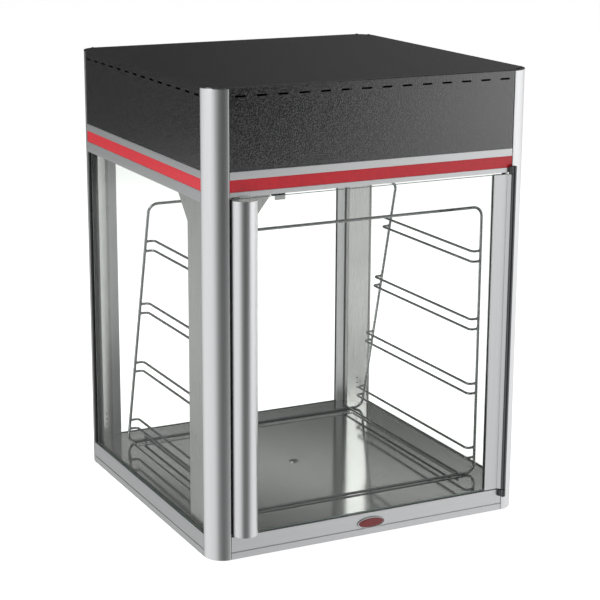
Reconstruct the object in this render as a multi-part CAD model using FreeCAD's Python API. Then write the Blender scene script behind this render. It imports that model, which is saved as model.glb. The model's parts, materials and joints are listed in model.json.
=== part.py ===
"""Countertop food holding cabinet: a glazed, heated display case with a hinged glass door, a wire pan
rack, and a fan, heater and lamp in the header above the ceiling.

The frame is right handed, in millimetres: +Z up, the door faces -Y, and the origin is at the middle of
the underside, on the surface that the cabinet stands on.
"""
import FreeCAD
import Part
import math
import os

V = FreeCAD.Vector

# ---- driving dimensions ---------------------------------------------------------------------------
WIDTH = 572.0
DEPTH = 562.0
HEIGHT = 756.0              # upper face of the top cover
POST_R = 33.0               # outer radius of the corner posts
POST_WALL = 3.0
POST_LEG = 9.5              # depth of a post's two return legs
RAIL_BOTTOM = 2.0           # the rubber feet lift the frame this far
BASE_TOP = 40.0             # upper edge of the base rails, and the cabinet's floor
BASE_GROOVE_Z = 14.0
TRIM_BOTTOM = 579.0         # lower edge of the side and rear trims
FRONT_TRIM_BOTTOM = 589.0   # the front trim stops higher, above the door
STRIPE_BOTTOM = 596.7
STRIPE_TOP = 615.7
TRIM_TOP = 628.0
COVER_THICK = 2.0
SHEET = 1.2                 # sheet metal thickness
END_GAP = 0.6               # shadow gap between a post and what butts against it

GLASS_THICK = 4.0
GROOVE_OUTER = 2.5          # a glazing groove's two sides, measured in from the outer face
GROOVE_INNER = 8.0
GROOVE_DEEP = 3.7
LIP_INNER = 10.0

DOOR_LEFT = -250.0          # free edge of the door
DOOR_BOTTOM = 42.0
DOOR_TOP = 586.0
DOOR_MAX_X = 243.0          # hinge-side edge of the door glass
DOOR_GLASS_SET = 1.4        # the glass face lies this far behind the cabinet's front
HANDLE_R = 21.0
HANDLE_WALL = 2.4
HINGE_X = 253.0
HINGE_OUT = 6.0             # the hinge axis stands this far in front of the cabinet
BARREL_R = 4.5
PIN_R = 2.5
PIN_CLEARANCE = 0.06

SLOT_COUNT = 14
SLOT_PITCH = 36.0
SLOT_LENGTH = 18.0
SLOT_HEIGHT = 3.0
SLOT_Z = 742.0

PAN_HALF_X = 225.4          # removable floor pan
PAN_FRONT = -199.4
PAN_REAR = 207.4
PAN_GAP = 1.6
PAN_FLOOR = 37.5

RACK_LEFT = -233.0          # the rack's uprights
RACK_RIGHT = 252.0
RACK_FRONT = -195.0
RACK_TOP = 515.0
RACK_REAR_FOOT = 216.0      # the rear frame leans forward from here
RACK_REAR_HEAD = 95.0
RACK_REAR_TOP = 508.0
RACK_WIRE_R = 2.5
SLIDE_WIRE_R = 2.1
SLIDE_INSET = 16.0
SLIDE_HEIGHTS = ((88.0, 70.0), (204.5, 187.0), (320.0, 302.0), (439.0, 421.0))
FLOOR_WIRE_R = 2.0
FLOOR_WIRE_INSET = 34.0

CEILING_Z = 592.0
FAN_Y = 30.0
PLENUM_HALF = 150.0
PLENUM_TOP = 651.2
IMPELLER_R = 70.0
IMPELLER_BLADES = 12
SHAFT_R = 4.0
LAMP_X = -120.0
LAMP_Y = -190.0

CONTROL_Z = 690.0
POWER_X = 40.0
LIGHT_X = 10.0
KNOB_X = -38.0
ROCKER_TILT = 9.0
GLAND_X = 205.0
GLAND_Z = 648.0

# ---- derived places -------------------------------------------------------------------------------
HALF_W = WIDTH / 2
HALF_D = DEPTH / 2
ARC_X = HALF_W - POST_R
ARC_Y = HALF_D - POST_R
COVER_BOTTOM = HEIGHT - COVER_THICK
GLASS_OUT = (GROOVE_OUTER + GROOVE_INNER - GLASS_THICK) / 2
CORNER_CLIP = 23.0          # plates stop on this diagonal, short of the posts
HINGE_Y = -HALF_D - HINGE_OUT
REAR_REACH = HALF_D + HANDLE_R    # the knob stands out behind as far as the handle does in front

# side name: turn about Z from the front, outer face from the middle, half of the free run
SIDES = {
    "front": (0, HALF_D, ARC_X),
    "right": (90, HALF_W, ARC_Y),
    "rear": (180, HALF_D, ARC_X),
    "left": (270, HALF_W, ARC_Y),
}
CORNERS = {
    "front_left": (-1, -1),
    "front_right": (1, -1),
    "rear_left": (-1, 1),
    "rear_right": (1, 1),
}
CORNER_SHEET = ((HALF_W - 11.0, HALF_D - 45.0), (HALF_W - 38.0, HALF_D - 12.6))
CORNER_FLANGE = 6.0
PORT_ANGLES = (20.0, 70.0)  # screw ports in a post, from its X side round to its Y side
PORT_RING = POST_R - POST_WALL - 2.6

nodes = {}


# ---- shape helpers --------------------------------------------------------------------------------
def box(x0, x1, y0, y1, z0, z1):
    return Part.makeBox(x1 - x0, y1 - y0, z1 - z0, V(x0, y0, z0))


def rod(x, y, z0, z1, radius):
    return Part.makeCylinder(radius, z1 - z0, V(x, y, z0))


def rod_y(x, z, y0, y1, radius):
    return Part.makeCylinder(radius, y1 - y0, V(x, y0, z), V(0, 1, 0))


def polygon(points):
    return Part.Wire(Part.makePolygon([V(*p) for p in points] + [V(*points[0])]).Edges)


def prism(points, z0, z1):
    """A vertical prism on a plan outline."""
    return Part.Face(polygon([(x, y, z0) for x, y in points])).extrude(V(0, 0, z1 - z0))


def fuse(first, *others):
    return first.fuse(list(others)).removeSplitter()


def turned(shape, degrees, centre=V(0, 0, 0), axis=V(0, 0, 1)):
    shape = shape.copy()
    shape.rotate(centre, axis, degrees)
    return shape


def offset_points(points, distance):
    """The open polyline moved to its left by a distance, with mitred corners."""
    normals = []
    for (x0, y0), (x1, y1) in zip(points, points[1:]):
        length = math.hypot(x1 - x0, y1 - y0)
        normals.append((-(y1 - y0) / length, (x1 - x0) / length))
    moved = []
    for i, (x, y) in enumerate(points):
        before = normals[max(i - 1, 0)]
        after = normals[min(i, len(normals) - 1)]
        grow = distance / (1 + before[0] * after[0] + before[1] * after[1])
        moved.append((x + (before[0] + after[0]) * grow, y + (before[1] + after[1]) * grow))
    return moved


def wire_rod(points, radius, bend=0.0):
    """A round wire along a polyline, with an arc of radius bend at each inner corner."""
    pts = [V(*p) for p in points]
    edges = []
    start = pts[0]
    for i in range(1, len(pts) - 1):
        into = (pts[i] - pts[i - 1]).normalize()
        out = (pts[i + 1] - pts[i]).normalize()
        half_turn = into.getAngle(out) / 2
        trim = bend * math.tan(half_turn)
        arc_start = pts[i] - into * trim
        arc_end = pts[i] + out * trim
        towards = (out - into).normalize()
        middle = pts[i] + towards * (bend / math.cos(half_turn) - bend)
        edges.append(Part.LineSegment(start, arc_start).toShape())
        edges.append(Part.Arc(arc_start, middle, arc_end).toShape())
        start = arc_end
    edges.append(Part.LineSegment(start, pts[-1]).toShape())
    path = Part.Wire(edges)
    section = Part.Wire(Part.makeCircle(radius, pts[0], pts[1] - pts[0]))
    return path.makePipeShell([section], True, False)


def on_side(side, shape):
    return turned(shape, SIDES[side][0])


def side_extrusion(side, profile, end_gap=END_GAP):
    """A rail along one side. The profile's points are (depth in from the outer face, z)."""
    turn, face, half_run = SIDES[side]
    half = half_run - end_gap
    wire = polygon([(-half, -face + depth, z) for depth, z in profile])
    return turned(Part.Face(wire).extrude(V(2 * half, 0, 0)), turn)


def clipped_plate(half_x, half_y, z0, z1):
    """A rectangular plate with its corners cut back to clear the posts."""
    x_stop = ARC_X + CORNER_CLIP - (half_y - ARC_Y)
    y_stop = ARC_Y + CORNER_CLIP - (half_x - ARC_X)
    corner = [(half_x, y_stop), (x_stop, half_y)]
    outline = corner + [(-x, y) for x, y in corner[::-1]]
    outline += [(-x, -y) for x, y in corner]
    outline += [(x, -y) for x, y in corner[::-1]]
    return prism(outline, z0, z1)


def screw(place, direction, head_r=3.0, shank_r=1.4, length=8.0):
    """A pan-head screw with its head's underside at place, pointing its head along direction."""
    head = Part.makeCylinder(head_r, 1.7, place, direction)
    head = head.makeFillet(0.9, [e for e in head.Edges
                                 if abs((e.CenterOfMass - place).dot(direction) - 1.7) < 1e-6
                                 and e.Closed])
    return fuse(head, Part.makeCylinder(shank_r, length, place - direction * length, direction))


# ---- frame ----------------------------------------------------------------------------------------
def post_point(sx, sy, a, b, z):
    """A point at (a, b) outwards from a post's arc centre."""
    return V(sx * (ARC_X + a), sy * (ARC_Y + b), z)


def port_centres(sx, sy, z):
    return [post_point(sx, sy, PORT_RING * math.cos(math.radians(t)),
                       PORT_RING * math.sin(math.radians(t)), z) for t in PORT_ANGLES]


def make_post(sx, sy):
    """A quarter-round extrusion with two return legs and two screw ports inside its arc."""
    def at(a, b):
        return post_point(sx, sy, a, b, RAIL_BOTTOM)

    inner_r = POST_R - POST_WALL
    reach = math.sqrt(inner_r ** 2 - POST_WALL ** 2)
    leg_end = POST_R - POST_LEG
    diagonal = math.sqrt(0.5)
    corners = [at(0, POST_R), at(0, leg_end), at(POST_WALL, leg_end), at(POST_WALL, reach)]
    returns = [at(reach, POST_WALL), at(leg_end, POST_WALL), at(leg_end, 0), at(POST_R, 0)]
    outer = Part.Arc(at(POST_R, 0), at(POST_R * diagonal, POST_R * diagonal), at(0, POST_R))
    inner = Part.Arc(corners[-1], at(inner_r * diagonal, inner_r * diagonal), returns[0])
    edges = [outer.toShape()] + Part.makePolygon(corners).Edges
    edges += [inner.toShape()] + Part.makePolygon(returns).Edges
    height = COVER_BOTTOM - RAIL_BOTTOM
    shell = Part.Face(Part.Wire(edges)).extrude(V(0, 0, height))
    ports = [Part.makeCylinder(3.4, height, c) for c in port_centres(sx, sy, RAIL_BOTTOM)]
    bores = [Part.makeCylinder(1.5, height, c) for c in port_centres(sx, sy, RAIL_BOTTOM)]
    return fuse(shell, *ports).cut(bores)


def make_frame():
    for name, (sx, sy) in CORNERS.items():
        nodes["post_" + name] = make_post(sx, sy)

    groove_floor = BASE_TOP - GROOVE_DEEP
    web = GROOVE_OUTER
    base_profile = [
        (0, RAIL_BOTTOM), (16, RAIL_BOTTOM), (16, RAIL_BOTTOM + 2.2), (web, RAIL_BOTTOM + 2.2),
        (web, groove_floor - 1.8), (LIP_INNER, groove_floor - 1.8), (LIP_INNER, BASE_TOP),
        (GROOVE_INNER, BASE_TOP), (GROOVE_INNER, groove_floor), (GROOVE_OUTER, groove_floor),
        (GROOVE_OUTER, BASE_TOP), (0, BASE_TOP), (0, BASE_GROOVE_Z + 0.7), (0.9, BASE_GROOVE_Z),
        (0, BASE_GROOVE_Z - 0.7),
    ]
    stripe_recess = [(0, STRIPE_TOP), (1.6, STRIPE_TOP), (1.6, STRIPE_BOTTOM), (0, STRIPE_BOTTOM)]
    trim_head = [(4, TRIM_TOP - 2), (20, TRIM_TOP - 2), (20, TRIM_TOP), (0, TRIM_TOP)]
    roof = TRIM_BOTTOM + GROOVE_DEEP + 2
    glazed_trim = [
        (0, TRIM_BOTTOM), (GROOVE_OUTER, TRIM_BOTTOM), (GROOVE_OUTER, roof), (GROOVE_INNER, roof),
        (GROOVE_INNER, TRIM_BOTTOM), (LIP_INNER, TRIM_BOTTOM), (LIP_INNER, roof + 2), (4, roof + 2),
    ] + trim_head + stripe_recess
    door_trim = [
        (0, FRONT_TRIM_BOTTOM), (12, FRONT_TRIM_BOTTOM), (12, FRONT_TRIM_BOTTOM + 2),
        (4, FRONT_TRIM_BOTTOM + 2),
    ] + trim_head + stripe_recess
    for side in SIDES:
        nodes["base_rail_" + side] = side_extrusion(side, base_profile)
        nodes["trim_rail_" + side] = side_extrusion(side, door_trim if side == "front" else glazed_trim)

    strip = [(0.4, STRIPE_BOTTOM), (1.6, STRIPE_BOTTOM), (1.6, STRIPE_TOP), (0.4, STRIPE_TOP)]
    nodes["stripe_inserts"] = [side_extrusion(side, strip) for side in SIDES]


def make_header():
    """The four slotted header panels and the top cover."""
    for side in SIDES:
        out = 0.8
        top = COVER_BOTTOM
        profile = [
            (out, TRIM_TOP), (14, TRIM_TOP), (14, TRIM_TOP + SHEET), (out + SHEET, TRIM_TOP + SHEET),
            (out + SHEET, top - SHEET), (14, top - SHEET), (14, top), (out, top),
        ]
        face = SIDES[side][1]
        cuts = []
        for i in range(SLOT_COUNT):
            x = (i - (SLOT_COUNT - 1) / 2) * SLOT_PITCH
            half = (SLOT_LENGTH - SLOT_HEIGHT) / 2
            slot = [box(x - half, x + half, -face, -face + 4, SLOT_Z - SLOT_HEIGHT / 2,
                        SLOT_Z + SLOT_HEIGHT / 2)]
            slot += [rod_y(x + end, SLOT_Z, -face, -face + 4, SLOT_HEIGHT / 2) for end in (-half, half)]
            cuts.append(on_side(side, fuse(*slot)))
        panel = side_extrusion(side, profile).cut(cuts)
        if side == "rear":
            panel = panel.cut(rear_cutouts())
        nodes["header_panel_" + side] = panel

    overhang = 0.5
    cover = box(-HALF_W - overhang, HALF_W + overhang, -HALF_D - overhang, HALF_D + overhang,
                COVER_BOTTOM, HEIGHT)
    uprights = [e for e in cover.Edges if abs(e.tangentAt(e.FirstParameter).z) > 0.9]
    cover = cover.makeFillet(POST_R + overhang, uprights)
    holes = [Part.makeCylinder(1.6, 2 * COVER_THICK, c)
             for sx, sy in CORNERS.values() for c in port_centres(sx, sy, COVER_BOTTOM - 1)]
    nodes["top_cover"] = cover.cut(holes)


def rear_cutouts():
    """Openings in the rear header panel for the switches, the thermostat's shaft and the gland."""
    y0, y1 = HALF_D - 6, HALF_D + 2
    cuts = [box(x - 7, x + 7, y0, y1, CONTROL_Z - 12.5, CONTROL_Z + 12.5) for x in (POWER_X, LIGHT_X)]
    cuts.append(rod_y(KNOB_X, CONTROL_Z, y0, y1, 4.0))
    cuts.append(rod_y(GLAND_X, GLAND_Z, y0, y1, 9.0))
    return cuts


# ---- base and floor -------------------------------------------------------------------------------
def make_base():
    plate_z = RAIL_BOTTOM + 2.2
    nodes["base_plate"] = clipped_plate(HALF_W - 3, HALF_D - 3, plate_z, plate_z + SHEET)
    nodes["foot_pads"] = [rod(x, y, 0, plate_z, 16.0) for x in (-235, 235) for y in (-230, 230)]

    underside = BASE_TOP - SHEET
    base_z = plate_z + SHEET
    pan_base = PAN_FLOOR - SHEET
    supports = []
    for s in (-1, 1):
        outer = box(min(s * 232, s * 266), max(s * 232, s * 266), -235, 235, base_z, underside)
        inner = box(min(s * 234, s * 264), max(s * 234, s * 264), -235, 235, base_z, underside - 2)
        supports.append(outer.cut(inner))
        outer = box(-222, 222, s * 120 - 20, s * 120 + 20, base_z, pan_base)
        inner = box(-222, 222, s * 120 - 18, s * 120 + 18, base_z, pan_base - 2)
        supports.append(outer.cut(inner))
    nodes["floor_supports"] = supports

    ledge = clipped_plate(HALF_W - LIP_INNER - 0.2, HALF_D - LIP_INNER - 0.2, underside, BASE_TOP)
    hole = box(-PAN_HALF_X - PAN_GAP, PAN_HALF_X + PAN_GAP, PAN_FRONT - PAN_GAP, PAN_REAR + PAN_GAP,
               underside - 1, BASE_TOP + 1)
    nodes["floor_ledge"] = ledge.cut(hole)

    rim = 3.0
    pan = box(-PAN_HALF_X, PAN_HALF_X, PAN_FRONT, PAN_REAR, pan_base, BASE_TOP - 0.1)
    well = box(-PAN_HALF_X + rim, PAN_HALF_X - rim, PAN_FRONT + rim, PAN_REAR - rim,
               PAN_FLOOR, BASE_TOP + 1)
    plug_y = (PAN_FRONT + PAN_REAR) / 2
    nodes["floor_pan"] = pan.cut([well, rod(0, plug_y, 30, 45, 6.1)])
    cap = rod(0, plug_y, PAN_FLOOR, PAN_FLOOR + 1.6, 8.5)
    cap = cap.makeFillet(1.2, [e for e in cap.Edges if e.Closed and e.CenterOfMass.z > PAN_FLOOR + 1])
    nodes["floor_plug"] = fuse(cap, rod(0, plug_y, pan_base - 5, PAN_FLOOR, 6.0))

    badge_z = 23.0
    oval = Part.Ellipse(V(25.5, -HALF_D, badge_z), V(0, -HALF_D, badge_z + 10), V(0, -HALF_D, badge_z))
    disc = Part.Face(Part.Wire(oval.toShape())).extrude(V(0, -1.8, 0))
    nodes["badge"] = disc.makeFillet(0.7, [e for e in disc.Edges
                                           if e.Closed and e.CenterOfMass.y < -HALF_D - 1])


# ---- glazing --------------------------------------------------------------------------------------
def make_glazing():
    """The three fixed panes, each in a rubber channel that fills the grooves round it."""
    gaskets = []
    for side in ("left", "right", "rear"):
        turn, face, half_run = SIDES[side]
        half = half_run - 2.0 if side == "rear" else half_run
        low = BASE_TOP - GROOVE_DEEP + 0.1
        high = TRIM_BOTTOM + GROOVE_DEEP + 1.9
        pane_out = -face + GLASS_OUT
        pane = box(-half + 0.8, half - 0.8, pane_out, pane_out + GLASS_THICK, low + 0.8, high - 0.8)
        ring = box(-half, half, -face + GROOVE_OUTER + 0.1, -face + GROOVE_INNER - 0.1, low, high)
        sight = box(-half + 3.5, half - 3.5, -face, -face + LIP_INNER, BASE_TOP - 0.5, TRIM_BOTTOM + 0.5)
        nodes["glass_" + side] = turned(pane, turn)
        gaskets.append(turned(ring.cut([sight, pane]), turn))
    nodes["glazing_gaskets"] = gaskets

    stiles = []
    for s in (-1, 1):
        x_in, x_out = s * (ARC_X - 28), s * (ARC_X - END_GAP)
        stile = box(min(x_in, x_out), max(x_in, x_out), HALF_D - LIP_INNER, HALF_D - 0.6,
                    BASE_TOP, TRIM_BOTTOM)
        slot_end = s * (ARC_X - 2.0)
        slot = box(min(x_in - s, slot_end), max(x_in - s, slot_end), HALF_D - GROOVE_INNER,
                   HALF_D - GROOVE_OUTER, BASE_TOP - 1, TRIM_BOTTOM + 1)
        stiles.append(stile.cut(slot))
    nodes["rear_stiles"] = stiles


# ---- air ducts ------------------------------------------------------------------------------------
def corner_sheet(sx, sy):
    """A folded cover across a post's open inner side, with a short flange along each pane."""
    (x0, y0), (x1, y1) = CORNER_SHEET
    path = [(x0, y0 - CORNER_FLANGE), (x0, y0), (x1, y1), (x1 - CORNER_FLANGE, y1)]
    outline = path + offset_points(path, SHEET)[::-1]
    return prism([(sx * x, sy * y) for x, y in outline], BASE_TOP, CEILING_Z)


def triangle(front_y, rear_y, right_x, inset=0.0):
    """Plan outline of the front duct: a right triangle in the cabinet's front left corner."""
    left_x = -HALF_W + 11
    run, rise = right_x - left_x, rear_y - front_y
    slope = math.hypot(run, rise)
    shrink = inset * (run + rise + slope) / (run * rise)
    x0, y0 = left_x + inset, front_y + inset
    return [(x0, y0), (x0 + run * (1 - shrink), y0), (x0, y0 + rise * (1 - shrink))]


def front_duct_body(inset, z_bottom, z_top):
    """The duct's outer or inner volume: a straight lower part that flares out under the ceiling."""
    front_y = -ARC_Y + 0.6
    narrow = triangle(front_y, -165.0, -200.0, inset)
    wide = triangle(front_y, -124.0, -165.0, inset)
    flare_z, mouth_z = 534.0, TRIM_BOTTOM
    flare = Part.makeLoft([polygon([(x, y, flare_z) for x, y in narrow]),
                           polygon([(x, y, mouth_z) for x, y in wide])], True)
    return fuse(prism(narrow, z_bottom, flare_z), flare, prism(wide, mouth_z, z_top))


def make_ducts():
    shell = front_duct_body(0, BASE_TOP, CEILING_Z).cut(
        front_duct_body(SHEET, BASE_TOP - 1, CEILING_Z + 1))
    run, rise = 75.0, 82.4
    middle_x, middle_y = -HALF_W + 11 + run / 2, -ARC_Y + 0.6 + rise / 2
    angle = -math.degrees(math.atan2(rise, run))
    outlets = [turned(box(middle_x - 22, middle_x + 22, middle_y - 8, middle_y + 8, z, z + 5), angle,
                      V(middle_x, middle_y, 0)) for z in range(110, 500, 65)]
    nodes["duct_front_left"] = shell.cut(outlets)
    nodes["duct_rear_left"] = corner_sheet(-1, 1)
    nodes["duct_rear_right"] = corner_sheet(1, 1)
    nodes["post_cover_front_right"] = corner_sheet(1, -1)


def make_screws():
    """Identical pan-head screws: two in the top of each post, three at the foot of each rear duct."""
    screws = [screw(c, V(0, 0, 1)) for sx, sy in CORNERS.values()
              for c in port_centres(sx, sy, HEIGHT)]
    for s, name in ((-1, "duct_rear_left"), (1, "duct_rear_right")):
        a, b = [V(s * x, y, 0) for x, y in CORNER_SHEET]
        along = (b - a).normalize()
        inward = V(-s * abs(along.y), -abs(along.x), 0)
        for z in (70.0, 80.0, 90.0):
            seat = (a + b) * 0.5 + V(0, 0, z) + inward * SHEET
            screws.append(screw(seat, inward, 2.2, 1.2, 5.0))
            hole = Part.makeCylinder(1.3, 4 * SHEET, seat - inward * 2 * SHEET, inward)
            nodes[name] = nodes[name].cut(hole)
    nodes["panel_screws"] = screws


# ---- door -----------------------------------------------------------------------------------------
def make_door():
    front = -HALF_D
    glass_y = front + DOOR_GLASS_SET
    channel_back = front + 7.5
    nodes["door_glass"] = box(DOOR_LEFT + 2, DOOR_MAX_X, glass_y, glass_y + GLASS_THICK,
                              DOOR_BOTTOM, DOOR_TOP)

    handle_z = (DOOR_BOTTOM + 1, DOOR_TOP - 1)
    clamp = box(DOOR_LEFT, DOOR_LEFT + 13, front - 0.6, channel_back, *handle_z)
    slot = box(DOOR_LEFT + 2, DOOR_LEFT + 20, glass_y, glass_y + GLASS_THICK,
               DOOR_BOTTOM, DOOR_TOP)
    centre = V(DOOR_LEFT + HANDLE_R, front, handle_z[0])
    lip_angle = math.radians(-25)

    def on_arc(radius, angle):
        return centre + V(radius * math.cos(angle), radius * math.sin(angle), 0)

    top_angle = -math.pi / 2
    outer = [on_arc(HANDLE_R, a) for a in (-math.pi, top_angle, lip_angle)]
    inner = [on_arc(HANDLE_R - HANDLE_WALL, a) for a in (lip_angle, top_angle, -math.pi)]
    edges = [Part.Arc(*outer).toShape(), Part.LineSegment(outer[-1], inner[0]).toShape(),
             Part.Arc(*inner).toShape(), Part.LineSegment(inner[-1], outer[0]).toShape()]
    grip = Part.Face(Part.Wire(edges)).extrude(V(0, 0, handle_z[1] - handle_z[0]))
    nodes["door_handle"] = fuse(grip, clamp).cut(slot)

    stile_left = DOOR_MAX_X - 24
    channel = box(stile_left, DOOR_MAX_X + 3, front - 1, channel_back, DOOR_BOTTOM, DOOR_TOP)
    slot = box(stile_left - 1, DOOR_MAX_X, glass_y, glass_y + GLASS_THICK,
               DOOR_BOTTOM - 1, DOOR_TOP + 1)
    web = prism([(DOOR_MAX_X + 1, front - 1), (DOOR_MAX_X + 1, front + 3), (DOOR_MAX_X + 4, front + 3),
                 (HINGE_X - 1, HINGE_Y + 2), (HINGE_X - 3, HINGE_Y - 1)], DOOR_BOTTOM, DOOR_TOP)
    barrel = rod(HINGE_X, HINGE_Y, DOOR_BOTTOM, DOOR_TOP, BARREL_R)
    pin_deep = 15.0
    bores = [rod(HINGE_X, HINGE_Y, DOOR_BOTTOM - 1, DOOR_BOTTOM + pin_deep, PIN_R),
             rod(HINGE_X, HINGE_Y, DOOR_TOP - pin_deep, DOOR_TOP + 1, PIN_R)]
    nodes["door_stile"] = fuse(channel, web, barrel).cut([slot] + bores)
    nodes["door_pins"] = [rod(HINGE_X, HINGE_Y, DOOR_BOTTOM - 12, DOOR_BOTTOM + pin_deep, PIN_R),
                          rod(HINGE_X, HINGE_Y, DOOR_TOP - pin_deep, DOOR_TOP + 12, PIN_R)]

    brackets = []
    for end, direction in ((DOOR_BOTTOM, -1), (DOOR_TOP, 1)):
        near, far, blind = end + 0.6 * direction, end + 14 * direction, end + 12.6 * direction
        low, high = min(near, far), max(near, far)
        cup = rod(HINGE_X, HINGE_Y, low, high, BARREL_R)
        foot_far = FRONT_TRIM_BOTTOM if direction > 0 else BASE_TOP
        neck = box(HINGE_X - 7, HINGE_X - END_GAP, HINGE_Y, front,
                   min(foot_far, far), max(foot_far, far))
        bore = rod(HINGE_X, HINGE_Y, min(near - direction, blind), max(near - direction, blind),
                   PIN_R + PIN_CLEARANCE)
        brackets.append(fuse(cup, neck).cut(bore))
    nodes["hinge_brackets"] = brackets

    catch_x = -165.0
    strike_y = glass_y + GLASS_THICK
    nodes["magnetic_catch"] = box(catch_x - 10, catch_x + 10, strike_y + 1.6, front + 20,
                                  DOOR_TOP - 6, FRONT_TRIM_BOTTOM)
    strike = box(catch_x - 9, catch_x + 9, strike_y, strike_y + SHEET, DOOR_TOP - 8, DOOR_TOP - 0.5)
    clip = box(DOOR_LEFT + 1, DOOR_LEFT + 17, glass_y + 0.5, channel_back, DOOR_TOP, DOOR_TOP + 1.6)
    nodes["door_strikes"] = [strike, clip]


# ---- pan rack -------------------------------------------------------------------------------------
def rear_y(z):
    """Where the leaning rear frame is at a height."""
    share = (z - BASE_TOP) / (RACK_REAR_TOP - BASE_TOP)
    return RACK_REAR_FOOT + (RACK_REAR_HEAD - RACK_REAR_FOOT) * share


def make_rack():
    r = RACK_WIRE_R
    foot_z = BASE_TOP + r
    bend = 16.0
    drop = 24.0             # length of upright made in one piece with a bar

    def frame(place, top_z):
        """Two bars with turned-up ends and the two uprights between them. place(z) gives Y."""
        solids = []
        for bar_z, tip_z in ((foot_z, foot_z + drop), (top_z, top_z - drop)):
            solids.append(wire_rod([(RACK_LEFT, place(tip_z), tip_z), (RACK_LEFT, place(bar_z), bar_z),
                                    (RACK_RIGHT, place(bar_z), bar_z),
                                    (RACK_RIGHT, place(tip_z), tip_z)], r, bend))
        for x in (RACK_LEFT, RACK_RIGHT):
            low, high = foot_z + drop, top_z - drop
            solids.append(wire_rod([(x, place(low), low), (x, place(high), high)], r))
        return solids

    nodes["rack_front_frame"] = frame(lambda z: RACK_FRONT, RACK_TOP)
    nodes["rack_rear_frame"] = frame(rear_y, RACK_REAR_TOP)

    slides = []
    for x, inward in ((RACK_LEFT, 1), (RACK_RIGHT, -1)):
        touch = x + inward * (RACK_WIRE_R + 0.02)
        inner = x + inward * SLIDE_INSET
        for pair in SLIDE_HEIGHTS:
            for z in pair:
                slides.append(wire_rod([(touch, RACK_FRONT, z), (inner, RACK_FRONT, z),
                                        (inner, rear_y(z), z), (touch, rear_y(z), z)],
                                       SLIDE_WIRE_R, 7.0))
    nodes["rack_slides"] = slides

    lift = foot_z + RACK_WIRE_R + FLOOR_WIRE_R
    nodes["rack_floor_wires"] = [
        wire_rod([(x, RACK_FRONT - 3, lift), (x, rear_y(foot_z) + 3, lift)], FLOOR_WIRE_R)
        for x in (RACK_LEFT + FLOOR_WIRE_INSET, RACK_RIGHT - FLOOR_WIRE_INSET)]


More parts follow.
